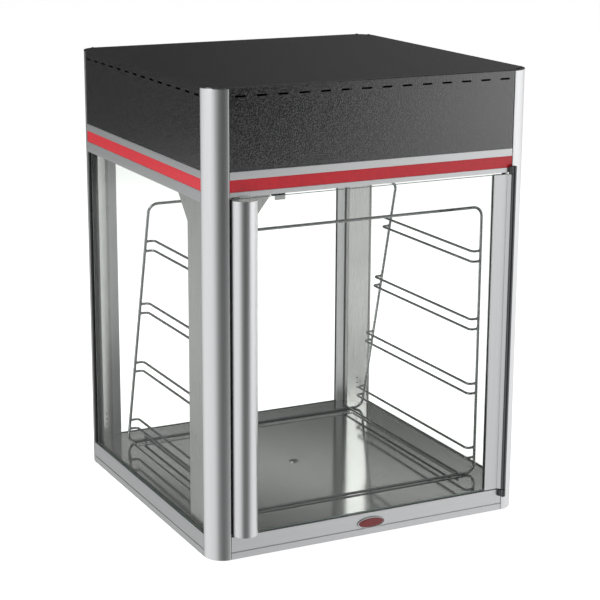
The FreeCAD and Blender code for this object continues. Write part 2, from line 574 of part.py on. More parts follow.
# ---- ceiling, fan, heater and lamp ----------------------------------------------------------------
def make_ceiling():
    half_x, half_y = HALF_W - 4, HALF_D - 4
    skin_top = CEILING_Z + SHEET
    tray = clipped_plate(half_x, half_y, CEILING_Z, CEILING_Z + 14).cut(
        clipped_plate(half_x - SHEET, half_y - SHEET, skin_top, CEILING_Z + 15))
    duct_mouth = front_duct_body(2 * SHEET, CEILING_Z - 5, CEILING_Z + 5)
    lamp_hole = rod(LAMP_X, LAMP_Y, CEILING_Z - 1, skin_top + 1, 32)
    inlets = []
    for ring in range(1, 5):
        for i in range(6 * ring):
            angle = 2 * math.pi * i / (6 * ring)
            inlets.append(rod(13 * ring * math.cos(angle), FAN_Y + 13 * ring * math.sin(angle),
                              CEILING_Z - 1, skin_top + 1, 4.5))
    nodes["ceiling_panel"] = tray.cut([duct_mouth, lamp_hole] + inlets)

    p = PLENUM_HALF
    plenum = box(-p, p, FAN_Y - p, FAN_Y + p, skin_top, PLENUM_TOP).cut(
        box(-p + SHEET, p - SHEET, FAN_Y - p + SHEET, FAN_Y + p - SHEET, skin_top - 1,
            PLENUM_TOP - SHEET))
    outlets = [box(-100, 100, FAN_Y - p - 5, FAN_Y + p + 5, 610, 635),
               box(-p - 5, p + 5, FAN_Y - 100, FAN_Y + 100, 610, 635),
               rod(0, FAN_Y, PLENUM_TOP - 5, PLENUM_TOP + 5, SHAFT_R + 3)]
    heater_r, tube_r = 98.0, 4.0
    terminals = [(-20.0, FAN_Y - heater_r + 2), (20.0, FAN_Y - heater_r + 2)]
    outlets += [rod(x, y, PLENUM_TOP - 5, PLENUM_TOP + 5, tube_r + 0.6) for x, y in terminals]
    nodes["plenum_box"] = plenum.cut(outlets)

    ring = Part.makeTorus(heater_r, tube_r, V(0, FAN_Y, 620))
    nodes["air_heater"] = fuse(ring, *[rod(x, y, 620, PLENUM_TOP + 16, tube_r) for x, y in terminals])

    motor_z = PLENUM_TOP
    motor = fuse(rod(0, FAN_Y, motor_z, motor_z + 3, 46), rod(0, FAN_Y, motor_z + 3, motor_z + 50, 36),
                 rod(0, FAN_Y, motor_z + 50, motor_z + 58, 14))
    nodes["fan_motor"] = motor.cut(rod(0, FAN_Y, motor_z - 1, motor_z + 40, SHAFT_R + PIN_CLEARANCE))

    disc_z, eye_z = 634.0, 604.0
    hub = rod(0, FAN_Y, disc_z - 18, disc_z + 6, 11)
    disc = rod(0, FAN_Y, disc_z, disc_z + 1.5, IMPELLER_R)
    eye = rod(0, FAN_Y, eye_z, eye_z + 1.5, IMPELLER_R).cut(rod(0, FAN_Y, eye_z - 1, eye_z + 3, 46))
    shaft = rod(0, FAN_Y, disc_z - 18, motor_z + 39, SHAFT_R)
    blade = turned(box(44, IMPELLER_R - 3, FAN_Y - 0.8, FAN_Y + 0.8, eye_z + 1, disc_z + 1), 28,
                   V(IMPELLER_R - 4, FAN_Y, 0))
    blades = [turned(blade, 360 * i / IMPELLER_BLADES, V(0, FAN_Y, 0)) for i in range(IMPELLER_BLADES)]
    nodes["fan_impeller"] = fuse(hub, disc, eye, shaft, *blades)

    socket = fuse(rod(LAMP_X, LAMP_Y, 640, 668, 17), box(LAMP_X - 40, LAMP_X + 40, LAMP_Y - 12,
                                                         LAMP_Y + 12, 668, 671),
                  box(LAMP_X - 40, LAMP_X - 38, LAMP_Y - 12, LAMP_Y + 12, skin_top, 671),
                  box(LAMP_X + 38, LAMP_X + 40, LAMP_Y - 12, LAMP_Y + 12, skin_top, 671))
    nodes["lamp_holder"] = socket.cut(rod(LAMP_X, LAMP_Y, 639, 660, 13.2))
    globe = Part.makeSphere(22, V(LAMP_X, LAMP_Y, 616))
    nodes["lamp_bulb"] = fuse(globe, rod(LAMP_X, LAMP_Y, 630, 658, 13))


# ---- rear controls --------------------------------------------------------------------------------
def make_controls():
    face_y = HALF_D - 0.8
    plate_y = face_y + 1.5
    plate = box(-66, 62, face_y, plate_y, CONTROL_Z - 28, CONTROL_Z + 28)
    nodes["control_plate"] = plate.cut(rear_cutouts())

    bodies = []
    for name, x in (("power_rocker", POWER_X), ("light_rocker", LIGHT_X)):
        bezel_y = plate_y + 2
        body = fuse(box(x - 6.8, x + 6.8, plate_y - 24, plate_y, CONTROL_Z - 12.3, CONTROL_Z + 12.3),
                    box(x - 8.5, x + 8.5, plate_y, bezel_y, CONTROL_Z - 14.5, CONTROL_Z + 14.5))
        bodies.append(body.cut(box(x - 5.3, x + 5.3, bezel_y - 9, bezel_y + 1,
                                   CONTROL_Z - 10.3, CONTROL_Z + 10.3)))
        pivot_y = plate_y + 1
        outline = [(-8.8, 3.0), (0, 1.4), (8.8, 3.0), (7.4, -2.6), (0, -4.0), (-7.4, -2.6)]
        paddle = Part.Face(polygon([(x - 4.9, pivot_y + out, CONTROL_Z + up) for up, out in outline]))
        nodes[name] = turned(paddle.extrude(V(9.8, 0, 0)), -ROCKER_TILT, V(x, pivot_y, CONTROL_Z),
                             V(1, 0, 0))
    nodes["switch_bodies"] = bodies

    stat = box(KNOB_X - 21, KNOB_X + 21, face_y - 30, face_y - 4, CONTROL_Z - 21, CONTROL_Z + 21)
    nodes["thermostat_body"] = stat.cut(rod_y(KNOB_X, CONTROL_Z, face_y - 14, face_y, 3 + PIN_CLEARANCE))
    skirt = rod_y(KNOB_X, CONTROL_Z, plate_y + 0.5, plate_y + 4, 19)
    grip = rod_y(KNOB_X, CONTROL_Z, plate_y + 4, REAR_REACH, 14)
    flats = [box(KNOB_X - 20, KNOB_X + 20, plate_y + 4.5, REAR_REACH + 1,
                 CONTROL_Z + s * 12 - 5, CONTROL_Z + s * 12 + 5) for s in (-1, 1)]
    shaft = rod_y(KNOB_X, CONTROL_Z, face_y - 13, plate_y + 4, 3)
    nodes["thermostat_knob"] = fuse(skirt, grip.cut(flats), shaft)

    gland = fuse(rod_y(GLAND_X, GLAND_Z, face_y, face_y + 4, 13),
                 rod_y(GLAND_X, GLAND_Z, face_y - 10, face_y + 16, 8.8))
    nodes["cord_gland"] = gland.cut(rod_y(GLAND_X, GLAND_Z, face_y - 11, face_y + 17, 4.0))


# ---- assembly -------------------------------------------------------------------------------------
make_frame()
make_header()
make_base()
make_glazing()
make_ducts()
make_screws()
make_door()
make_rack()
make_ceiling()
make_controls()

os.makedirs("parts", exist_ok=True)
for name, shape in nodes.items():
    solids = shape if isinstance(shape, list) else [shape]
    solids = [s for piece in solids for s in piece.Solids]
    whole = solids[0] if len(solids) == 1 else Part.makeCompound(solids)
    if not whole.isValid():
        print("invalid shape:", name)
    whole.exportStep("parts/" + name + ".step")
    if not isinstance(shape, list) and len(solids) != 1:
        print("unexpected solids:", name, len(solids))
print(len(nodes), "nodes")
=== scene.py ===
"""Looks for the countertop food holding cabinet: a glazed, heated display case with a wire pan rack.

Laid out as an add-on and run as a script. The frame comes from the packed CAD model, every piece is made
in its place in the CAD's frame, and each piece rides on a CAD body. Shapes are worked out in millimetres,
and become meshes in metres.
"""

import json
import math

import bmesh
import bpy
from bpy.props import FloatProperty, FloatVectorProperty, IntProperty, PointerProperty
from mathutils import Matrix, Vector


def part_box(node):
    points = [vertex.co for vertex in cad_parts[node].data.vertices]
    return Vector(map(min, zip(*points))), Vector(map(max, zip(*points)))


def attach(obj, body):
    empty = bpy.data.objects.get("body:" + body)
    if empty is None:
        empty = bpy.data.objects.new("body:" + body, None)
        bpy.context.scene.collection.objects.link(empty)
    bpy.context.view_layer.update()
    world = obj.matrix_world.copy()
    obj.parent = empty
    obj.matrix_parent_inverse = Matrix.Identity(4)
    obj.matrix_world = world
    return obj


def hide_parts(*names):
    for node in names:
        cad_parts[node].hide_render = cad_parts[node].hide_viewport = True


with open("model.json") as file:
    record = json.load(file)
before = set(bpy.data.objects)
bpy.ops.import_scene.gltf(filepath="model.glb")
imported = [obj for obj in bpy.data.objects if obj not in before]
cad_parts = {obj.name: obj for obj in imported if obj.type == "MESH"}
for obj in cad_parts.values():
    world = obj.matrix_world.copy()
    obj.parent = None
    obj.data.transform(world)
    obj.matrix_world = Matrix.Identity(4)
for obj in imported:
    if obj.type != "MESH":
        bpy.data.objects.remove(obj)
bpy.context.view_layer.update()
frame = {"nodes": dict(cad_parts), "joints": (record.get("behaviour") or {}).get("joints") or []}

bl_info = {"name": "Food Holding Cabinet", "version": (1, 0, 0), "blender": (4, 5, 0),
    "location": "View3D > Sidebar > Cabinet",
    "description": "Builds the visible pieces of a countertop food holding cabinet around its CAD frame",
    "category": "Object",}

MM = 0.001

# ---- sizes the CAD boxes don't give, in millimetres -------------------------------------------------
POST_WALL = 3.0
POST_LEG = 9.5
PORT_INSET = 5.6            # a screw port's axis lies this far inside the post's outer face
SHEET = 1.2                 # sheet metal thickness
GROOVE_OUTER = 2.5          # the two sides of a glazing groove, in from the outer face
GROOVE_INNER = 8.0
LIP = 10.0
WIRE = 2.5                  # wire radii of the rack
SLIDE_WIRE = 2.1
FLOOR_WIRE = 2.0
SLIDE_PAIRS = ((88.0, 70.0), (204.5, 187.0), (320.0, 302.0), (439.0, 421.0))
SLIDE_INSET = 16.0
DUCT_FLARE_START = 534.0
DUCT_MOUTH = 579.0
STRIPE_LOW, STRIPE_HIGH, STRIPE_DEEP = 596.7, 615.7, 1.6
OUTLETS, OUTLET_PITCH, OUTLET_MIDDLE = 6, 65.0, 272.5       # air outlets up the front duct
OUTLET_SHAPE = (44.0, 5.0, 2.4)     # length, height and corner radius
DIAL_START = -90            # degrees from straight up, where the knob points when it is off
DIAL_STEP, DIAL_TICKS = 27, 11      # degrees from tick to tick, and their number
TICK_RADIUS, NUMBER_RADIUS = 21.4, 25.4
TICK = (0.7, 0.2, 2.6)
ROCKER_TILT = 9.0

# control on the rear panel: the width, height and corner radius of its cutout
CUTOUTS = (("power_rocker", 14, 25, 0.5), ("light_rocker", 14, 25, 0.5), ("thermostat_knob", 8, 8, 3.9))
ROCKERS = {"power_switch": "power_rocker", "light_switch": "light_rocker"}
FACING_Y = (90, 0, 0)       # turns a punch to cut along Y

# side name: its turn about Z from the front, in degrees
SIDES = {"front": 0, "right": 90, "rear": 180, "left": 270}
CORNERS = {"front_left": (-1, -1), "front_right": (1, -1), "rear_left": (-1, 1), "rear_right": (1, 1)}


def linear(code):
    """An sRGB hex value as linear red, green and blue."""
    parts = [int(code[i:i + 2], 16) / 255 for i in (1, 3, 5)]
    return [c / 12.92 if c <= 0.04045 else ((c + 0.055) / 1.055) ** 2.4 for c in parts]


class Span:
    """A CAD node's box at rest, in millimetres, turned about Z if asked."""

    def __init__(self, node, turn=0):
        spin = Matrix.Rotation(math.radians(-turn), 3, "Z")
        ends = [spin @ (corner / MM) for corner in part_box(node)]
        self.x0, self.y0, self.z0 = map(min, *ends)
        self.x1, self.y1, self.z1 = map(max, *ends)
        self.centre = (ends[0] + ends[1]) / 2


# ---- sizes and colours a user would change ----------------------------------------------------------
class CabinetSizes(bpy.types.PropertyGroup):
    """Sizes that only change how pieces are finished."""

    edge_break: FloatProperty(name="Edge break",
        description="Radius of the broken edges on extrusions and sheet", default=0.00035, min=0.0001,
        max=0.001, unit="LENGTH", precision=5)
    slot_length: FloatProperty(name="Vent slot length", description="Length of one vent slot in the header",
        default=0.018, unit="LENGTH")
    slot_height: FloatProperty(name="Vent slot height", description="Height of one vent slot in the header",
        default=0.003, unit="LENGTH")
    slot_pitch: FloatProperty(name="Vent slot pitch", description="Distance from slot to slot", default=0.036,
        unit="LENGTH")
    slot_count: IntProperty(name="Vent slots", description="Number of vent slots in each header panel",
        default=14, min=1)
    frame_bend: FloatProperty(name="Rack corner bend", description="Bend radius of the rack's two frames",
        default=0.016, unit="LENGTH")
    slide_bend: FloatProperty(name="Pan slide bend", description="Bend radius at the ends of the pan slides",
        default=0.007, unit="LENGTH")


class CabinetColours(bpy.types.PropertyGroup):
    """Colours of the finishes, kept as linear values."""

    aluminium: FloatVectorProperty(name="Aluminium", description="Satin anodised aluminium extrusions",
        subtype="COLOR", default=linear("#DEDFE0"))
    powder: FloatVectorProperty(name="Powder coat", description="Black powder coat of the header",
        subtype="COLOR", default=linear("#101011"))
    stripe: FloatVectorProperty(name="Stripe", description="Red strip in the trims", subtype="COLOR",
        default=linear("#C41024"))
    stainless: FloatVectorProperty(name="Stainless", description="Brushed stainless sheet", subtype="COLOR",
        default=linear("#CACAC9"))
    badge: FloatVectorProperty(name="Badge", description="Enamel of the oval badge", subtype="COLOR",
        default=linear("#7A0A12"))
    floor: FloatVectorProperty(name="Studio floor", description="Pale floor round the cabinet",
        subtype="COLOR", default=linear("#F2F2F2"))


# ---- shapes -----------------------------------------------------------------------------------------
def arc(radius, start, end, steps, centre=(0.0, 0.0)):
    """Points on a circle from one angle to another, in degrees."""
    turns = [math.radians(start + (end - start) * i / steps) for i in range(steps + 1)]
    return [(centre[0] + radius * math.cos(t), centre[1] + radius * math.sin(t)) for t in turns]


def rounded_box(x0, x1, y0, y1, radius, steps=5):
    """Plan outline of a rectangle with rounded corners."""
    r = max(radius, 0.01)
    spots = ((x1 - r, y1 - r, 0), (x0 + r, y1 - r, 90), (x0 + r, y0 + r, 180), (x1 - r, y0 + r, 270))
    return [p for x, y, a in spots for p in arc(r, a, a + 90, steps, (x, y))]


def rounded(points, radius, steps=4):
    """An outline with each corner replaced by an arc. A radius for each point, or one for all."""
    radii = radius if isinstance(radius, (list, tuple)) else [radius] * len(points)
    made = []
    for i, corner in enumerate(points):
        here = Vector(corner)
        before = (Vector(points[i - 1]) - here).normalized()
        after = (Vector(points[(i + 1) % len(points)]) - here).normalized()
        half = before.angle(after) / 2
        if radii[i] <= 0 or abs(half - math.pi / 2) < 1e-3:
            made.append(tuple(here))
            continue
        trim = radii[i] / math.tan(half)
        centre = here + (before + after).normalized() * (radii[i] / math.sin(half))
        a, b = here + before * trim - centre, here + after * trim - centre
        for k in range(steps + 1):
            spot = a.lerp(b, k / steps).normalized() * radii[i]
            made.append(tuple(centre + spot))
    return made


class Shape:
    """Closed solids gathered in millimetres."""

    def __init__(self):
        self.points, self.faces, self.edges, self.marks = [], [], [], []
        self.mark = 0       # index of the finish that the next faces get

    def face(self, corners, mark=None):
        self.faces.append(tuple(corners))
        self.marks.append(self.mark if mark is None else mark)

    def loft(self, rings, closed=False, side_mark=None):
        """Skin over rings of points. An open run of rings is capped at both ends."""
        start, n = len(self.points), len(rings[0])
        for ring in rings:
            self.points += [tuple(p) for p in ring]
        for r in range(len(rings) if closed else len(rings) - 1):
            a, b = start + r * n, start + (r + 1) % len(rings) * n
            for i in range(n):
                j = (i + 1) % n
                self.face((a + i, a + j, b + j, b + i), side_mark)
        if not closed:
            last = start + (len(rings) - 1) * n
            self.face(range(start + n - 1, start - 1, -1))
            self.face(range(last, last + n))
        return self

    def prism(self, outline, low, high, axis="z", side_mark=None):
        """An outline pushed along an axis. Its two numbers are the other two axes, in order."""
        return self.loft([[on_axis(axis, u, v, w) for u, v in outline] for w in (low, high)],
            side_mark=side_mark)

    def block(self, x0, x1, y0, y1, z0, z1):
        return self.prism([(x0, y0), (x1, y0), (x1, y1), (x0, y1)], z0, z1)

    def lathe(self, profile, centre, axis="z", steps=32, closed=False):
        """(radius, height) points turned round an axis through a centre."""
        cx, cy, cz = centre
        rings = []
        for radius, height in profile:
            ring = [on_axis(axis, u, v, height) for u, v in arc(radius, 0, 360 - 360 / steps, steps - 1)]
            rings.append([(x + cx, y + cy, z + cz) for x, y, z in ring])
        return self.loft(rings, closed)

    def line(self, points, closed=False):
        """A bare line for a wire to follow."""
        start, n = len(self.points), len(points)
        self.points += [tuple(p) for p in points]
        self.edges += [(start + i, start + (i + 1) % n) for i in range(n if closed else n - 1)]
        return self

    def moved(self, matrix):
        self.points = [tuple(matrix @ Vector(p)) for p in self.points]
        return self

    def turned(self, degrees):
        return self.moved(Matrix.Rotation(math.radians(degrees), 3, "Z"))

    def mesh(self, name):
        """The shape as a mesh in metres, its faces turned outwards."""
        made = bpy.data.meshes.new(name)
        made.from_pydata([Vector(p) * MM for p in self.points], self.edges, self.faces)
        if self.faces:
            made.polygons.foreach_set("material_index", self.marks)
            work = bmesh.new()
            work.from_mesh(made)
            bmesh.ops.recalc_face_normals(work, faces=work.faces)
            work.to_mesh(made)
            work.free()
        return made


def plate_ring(x0, x1, y0, y1, radius, height, steps=5, axis="z"):
    """A rounded rectangle as a ring of points at one height."""
    return [on_axis(axis, u, v, height) for u, v in rounded_box(x0, x1, y0, y1, radius, steps)]


def joint_at(name):
    """Where a joint's axis is, in millimetres."""
    return Vector(next(j["pos_m"] for j in frame["joints"] if j["name"] == name)) / MM


def on_axis(axis, u, v, w):
    """A point from two outline numbers and one along the axis."""
    return {"x": (w, u, v), "y": (u, w, v), "z": (u, v, w)}[axis]


def show(name, mesh):
    made = bpy.data.objects.new(name, mesh)
    bpy.context.scene.collection.objects.link(made)
    return made


def settle(piece):
    """Leaves the piece with its evaluated mesh and no modifiers."""
    graph = bpy.context.evaluated_depsgraph_get()
    made = bpy.data.meshes.new_from_object(piece.evaluated_get(graph), depsgraph=graph)
    made.name = piece.name
    piece.modifiers.clear()
    piece.data = made
    return piece


def install(piece, finishes, slot, body="cabinet", nodes=(), edge=None, smooth=35):
    """Finishes a piece: broken edges, soft shading, materials, and its place in the frame's table.
    edge is the radius of the broken edges in millimetres, and 0 leaves them sharp."""
    if edge is None:
        edge = bpy.context.scene.cabinet_sizes.edge_break / MM
    if edge:
        soften = piece.modifiers.new("broken edges", "BEVEL")
        soften.width = edge * MM
        soften.segments = 2
        soften.limit_method = "ANGLE"
        soften.angle_limit = math.radians(30)
    settle(piece)
    finishes = finishes if isinstance(finishes, (list, tuple)) else [finishes]
    marks = [p.material_index for p in piece.data.polygons]
    piece.data.materials.clear()
    for finish in finishes:
        piece.data.materials.append(finish)
    piece.data.polygons.foreach_set("material_index", [min(m, len(finishes) - 1) for m in marks])
    piece.data.shade_smooth()
    piece.data.set_sharp_from_angle(angle=math.radians(smooth))
    even = piece.modifiers.new("flat faces stay flat", "WEIGHTED_NORMAL")
    even.mode, even.weight, even.keep_sharp = "FACE_AREA", 90, True
    settle(piece)
    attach(piece, body)
    if nodes:
        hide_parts(*nodes)
    return piece


def fit(name, shape, *words, **more):
    """Finishes a shape as the piece of this name."""
    return install(show(name, shape.mesh(name)), *words, **more)


# ---- node trees -------------------------------------------------------------------------------------
def add(tree, kind, feeds=None, **settings):
    """Adds a node. feeds gives each input, by name or number, a value, another node's output, or a node,
    which stands for its first output."""
    made = tree.nodes.new(kind)
    for key, value in settings.items():
        setattr(made, key, value)
    for key, value in (feeds or {}).items():
        value = value.outputs[0] if isinstance(value, bpy.types.Node) else value
        if isinstance(value, bpy.types.NodeSocket):
            tree.links.new(value, made.inputs[key])
        else:
            made.inputs[key].default_value = value
    return made


def shape_tree(name, sockets):
    """An empty Geometry Nodes tree with a mesh input, the given named inputs, a Finish and an output."""
    tree = bpy.data.node_groups.new(name, "GeometryNodeTree")
    tree.interface.new_socket("Geometry", in_out="INPUT", socket_type="NodeSocketGeometry")
    for label, kind in sockets.items():
        tree.interface.new_socket(label, in_out="INPUT", socket_type="NodeSocket" + kind)
    tree.interface.new_socket("Finish", in_out="INPUT", socket_type="NodeSocketMaterial")
    tree.interface.new_socket("Geometry", in_out="OUTPUT", socket_type="NodeSocketGeometry")
    return tree, tree.nodes.new("NodeGroupInput").outputs


def close_tree(tree, geometry, finish):
    """Ends a tree in Realize Instances and Set Material."""
    real = add(tree, "GeometryNodeRealizeInstances", {"Geometry": geometry})
    painted = add(tree, "GeometryNodeSetMaterial", {"Geometry": real, "Material": finish})
    add(tree, "NodeGroupOutput", {"Geometry": painted})


def run_tree(piece, tree, finish, **sizes):
    """Adds a tree to a piece as a modifier, with its inputs set by identifier."""
    grown = piece.modifiers.new(tree.name, "NODES")
    grown.node_group = tree
    values = {label.replace("_", " "): value for label, value in sizes.items()}
    values["finish"] = finish
    for item in tree.interface.items_tree:
        if item.in_out == "INPUT" and item.name.lower() in values:
            grown[item.identifier] = values[item.name.lower()]
    return piece


def shared(make):
    """Makes a tree or a finish once, and hands out the same one afterwards."""
    kept = {}

    def once(*words):
        if words not in kept:
            kept[words] = make(*words)
        return kept[words]
    once.__doc__ = make.__doc__
    return once


@shared
def slot_row_tree():
    """Cuts a row of rounded openings through a wall, as a punch does."""
    tree, given = shape_tree("Punched row", {"Start": "Vector", "Step": "Vector", "Count": "Int",
        "Length": "Float", "Height": "Float", "Corner": "Float", "Depth": "Float", "Turn": "Rotation"})
    outline = add(tree, "GeometryNodeCurvePrimitiveQuadrilateral",
        {"Width": given["Length"], "Height": given["Height"]})
    eased = add(tree, "GeometryNodeFilletCurve", {"Curve": outline, "Radius": given["Corner"], "Count": 6},
        mode="POLY")
    out = add(tree, "ShaderNodeCombineXYZ", {"Z": given["Depth"]})
    back = add(tree, "ShaderNodeVectorMath", {0: out, "Scale": -1.0}, operation="SCALE")
    through = add(tree, "GeometryNodeCurvePrimitiveLine", {"Start": back, "End": out})
    punch = add(tree, "GeometryNodeCurveToMesh", {"Curve": through, "Profile Curve": eased,
        "Fill Caps": True})
    row = add(tree, "GeometryNodeMeshLine", {"Count": given["Count"], "Start Location": given["Start"],
        "Offset": given["Step"]}, mode="OFFSET")
    placed = add(tree, "GeometryNodeInstanceOnPoints", {"Points": row, "Instance": punch,
        "Rotation": given["Turn"]})
    punches = add(tree, "GeometryNodeRealizeInstances", {"Geometry": placed})
    cut = add(tree, "GeometryNodeMeshBoolean", {"Mesh 1": given["Geometry"]}, operation="DIFFERENCE")
    tree.links.new(punches.outputs[0], cut.inputs["Mesh 2"])
    close_tree(tree, cut.outputs["Mesh"], given["Finish"])
    return tree


@shared
def wire_tree():
    """Bends a round wire along each line, with a weld bead at its free ends."""
    tree, given = shape_tree("Bent wire", {"Wire": "Float", "Bend": "Float", "Bead": "Float", "Sides": "Int"})
    run = add(tree, "GeometryNodeMeshToCurve", {"Mesh": given["Geometry"]})
    bent = add(tree, "GeometryNodeFilletCurve", {"Curve": run, "Radius": given["Bend"], "Count": 8,
        "Limit Radius": True}, mode="POLY")
    section = add(tree, "GeometryNodeCurvePrimitiveCircle",
        {"Resolution": given["Sides"], "Radius": given["Wire"]})
    drawn = add(tree, "GeometryNodeCurveToMesh", {"Curve": bent, "Profile Curve": section, "Fill Caps": True})
    ends = add(tree, "GeometryNodeCurveEndpointSelection", {"Start Size": 1, "End Size": 1})
    bead = add(tree, "GeometryNodeMeshIcoSphere", {"Radius": given["Bead"], "Subdivisions": 2})
    beads = add(tree, "GeometryNodeInstanceOnPoints", {"Points": bent, "Selection": ends,
        "Instance": bead.outputs["Mesh"]})
    both = add(tree, "GeometryNodeJoinGeometry", {"Geometry": beads})
    tree.links.new(drawn.outputs[0], both.inputs["Geometry"])
    close_tree(tree, both.outputs[0], given["Finish"])
    return tree


@shared
def screw_tree():
    """Sets a pan-head screw with a cross recess at each point, its head along the point's aim."""
    tree, given = shape_tree("Pan head screws", {"Head": "Float", "Rise": "Float"})
    ball = add(tree, "GeometryNodeMeshUVSphere", {"Segments": 24, "Rings": 14, "Radius": given["Head"]})
    tall = add(tree, "ShaderNodeMath", {0: given["Rise"], 1: given["Head"]}, operation="DIVIDE")
    squash = add(tree, "ShaderNodeCombineXYZ", {"X": 1.0, "Y": 1.0, "Z": tall})
    head = add(tree, "GeometryNodeTransform", {"Geometry": ball.outputs["Mesh"], "Scale": squash})
    cut = add(tree, "GeometryNodeMeshBoolean", {"Mesh 1": head}, operation="DIFFERENCE")
    for long_side, short_side in (("X", "Y"), ("Y", "X")):
        length = add(tree, "ShaderNodeMath", {0: given["Head"], 1: 1.1}, operation="MULTIPLY")
        width = add(tree, "ShaderNodeMath", {0: given["Head"], 1: 0.26}, operation="MULTIPLY")
        arms = add(tree, "ShaderNodeCombineXYZ", {long_side: length, short_side: width, "Z": given["Rise"]})
        lift = add(tree, "ShaderNodeCombineXYZ", {"Z": given["Rise"]})
        arm = add(tree, "GeometryNodeMeshCube", {"Size": arms})
        raised = add(tree, "GeometryNodeTransform", {"Geometry": arm.outputs["Mesh"], "Translation": lift})
        tree.links.new(raised.outputs[0], cut.inputs["Mesh 2"])
    aim = add(tree, "GeometryNodeInputNamedAttribute", {"Name": "aim"}, data_type="FLOAT_VECTOR")
    facing = add(tree, "FunctionNodeAlignRotationToVector", {"Vector": aim}, axis="Z")
    placed = add(tree, "GeometryNodeInstanceOnPoints",
        {"Points": given["Geometry"], "Instance": cut.outputs["Mesh"], "Rotation": facing})
    close_tree(tree, placed.outputs[0], given["Finish"])
    return tree


@shared
def dial_tree():
    """Draws ticks round a dial that faces +Y."""
    tree, given = shape_tree("Dial ticks", {"Centre": "Vector", "Count": "Int", "First": "Float",
        "Turn": "Float", "Radius": "Float", "Tick": "Vector"})
    spots = add(tree, "GeometryNodePoints", {"Count": given["Count"], "Position": given["Centre"]})
    bar = add(tree, "GeometryNodeMeshCube", {"Size": given["Tick"]})
    out = add(tree, "ShaderNodeCombineXYZ", {"Z": given["Radius"]})
    outer = add(tree, "GeometryNodeTransform", {"Geometry": bar.outputs["Mesh"], "Translation": out})
    number = add(tree, "GeometryNodeInputIndex")
    angle = add(tree, "ShaderNodeMath", {0: number, 1: given["Turn"], 2: given["First"]},
        operation="MULTIPLY_ADD")
    spin = add(tree, "ShaderNodeCombineXYZ", {"Y": angle})
    placed = add(tree, "GeometryNodeInstanceOnPoints", {"Points": spots, "Instance": outer, "Rotation": spin})
    close_tree(tree, placed.outputs[0], given["Finish"])
    return tree


def punch_row(piece, finish, middle, step, count, length, height, corner, depth, turn):
    """Cuts openings in a piece. Sizes are in millimetres, and turn is (x, y, z) in degrees."""
    start = Vector(middle) - Vector(step) * (count - 1) / 2
    return run_tree(piece, slot_row_tree(), finish, start=list(start * MM), step=[s * MM for s in step],
        count=count, length=length * MM, height=height * MM, corner=corner * MM, depth=depth * MM,
        turn=[math.radians(a) for a in turn])


def set_screws(name, seats, finish, slot, head, rise, nodes=()):
    """Screws at (place, the way the head faces), in millimetres."""
    made = bpy.data.meshes.new(name)
    made.from_pydata([Vector(place) * MM for place, aim in seats], [], [])
    aims = made.attributes.new("aim", "FLOAT_VECTOR", "POINT")
    aims.data.foreach_set("vector", [c for place, aim in seats for c in aim])
    screws = run_tree(show(name, made), screw_tree(), finish, head=head * MM, rise=rise * MM)
    install(screws, finish, slot, nodes=nodes, edge=0)


# ---- finishes ---------------------------------------------------------------------------------------
def start_finish(name, **constants):
    """A material with one Principled shader. Constant values are set on the shader's own sockets."""
    made = bpy.data.materials.new(name)
    made.use_nodes = True
    tree = made.node_tree
    tree.nodes.clear()
    shader = add(tree, "ShaderNodeBsdfPrincipled", {k.replace("_", " "): v for k, v in constants.items()})
    add(tree, "ShaderNodeOutputMaterial", {"Surface": shader})
    return made, tree, shader


def speckle(tree, size, detail=2.0, kind="ShaderNodeTexNoise"):
    """A pattern on Object coordinates, its grains this many millimetres long in X, Y and Z."""
    place = add(tree, "ShaderNodeTexCoord")
    scaled = add(tree, "ShaderNodeMapping", {"Vector": place.outputs["Object"],
        "Scale": [1 / (s * MM) for s in size]})
    feeds = {"Vector": scaled, "Scale": 1.0}
    if kind == "ShaderNodeTexNoise":
        feeds["Detail"] = detail
    return add(tree, kind, feeds).outputs[0]


def drive(tree, shader, socket, value, low, high):
    """Feeds a shader's number from a pattern that runs from 0 to 1."""
    spread = add(tree, "ShaderNodeMapRange", {"Value": value, "From Min": 0.25, "From Max": 0.75,
        "To Min": low, "To Max": high})
    tree.links.new(spread.outputs[0], shader.inputs[socket])


def tint(tree, shader, value, low, high, start=0.3, end=0.7):
    """Feeds a shader's colour from a pattern, between two linear colours."""
    ramp = add(tree, "ShaderNodeValToRGB", {"Fac": value})
    ramp.color_ramp.elements[0].position, ramp.color_ramp.elements[1].position = start, end
    ramp.color_ramp.elements[0].color, ramp.color_ramp.elements[1].color = [*low, 1], [*high, 1]
    tree.links.new(ramp.outputs[0], shader.inputs["Base Color"])


def emboss(tree, shader, value, height, strength=1.0):
    """Feeds a shader's normal from a pattern whose full height is given in millimetres."""
    raised = add(tree, "ShaderNodeBump", {"Strength": strength, "Distance": height * MM, "Height": value})
    tree.links.new(raised.outputs[0], shader.inputs["Normal"])


def grain_size(axis, across, along):
    """Grain that is long in one axis, as a brush or a die leaves it."""
    return [along if name == axis else across for name in "xyz"]


def shade(colour, share):
    return [c * share for c in colour]


def grained(name, grain, detail, colours, rough, relief=None, ramp=(0.3, 0.7), **constants):
    """A finish with one noise pattern: its colour, its roughness and its relief follow the same grains.
    grain is one length in millimetres or three, colours are hex codes or linear values, and relief is
    the height in millimetres and the share of it that shows."""
    made, tree, shader = start_finish(name, **constants)
    pattern = speckle(tree, grain if isinstance(grain, (list, tuple)) else [grain] * 3, detail)
    dark, light = [linear(c) if isinstance(c, str) else c for c in colours]
    tint(tree, shader, pattern, dark, light, *ramp)
    drive(tree, shader, "Roughness", pattern, *rough)
    if relief:
        emboss(tree, shader, pattern, *relief)
    return made


def tones(colour, low, high):
    """A user's colour made darker and lighter."""
    base = getattr(bpy.context.scene.cabinet_colours, colour)
    return shade(base, low), shade(base, high)


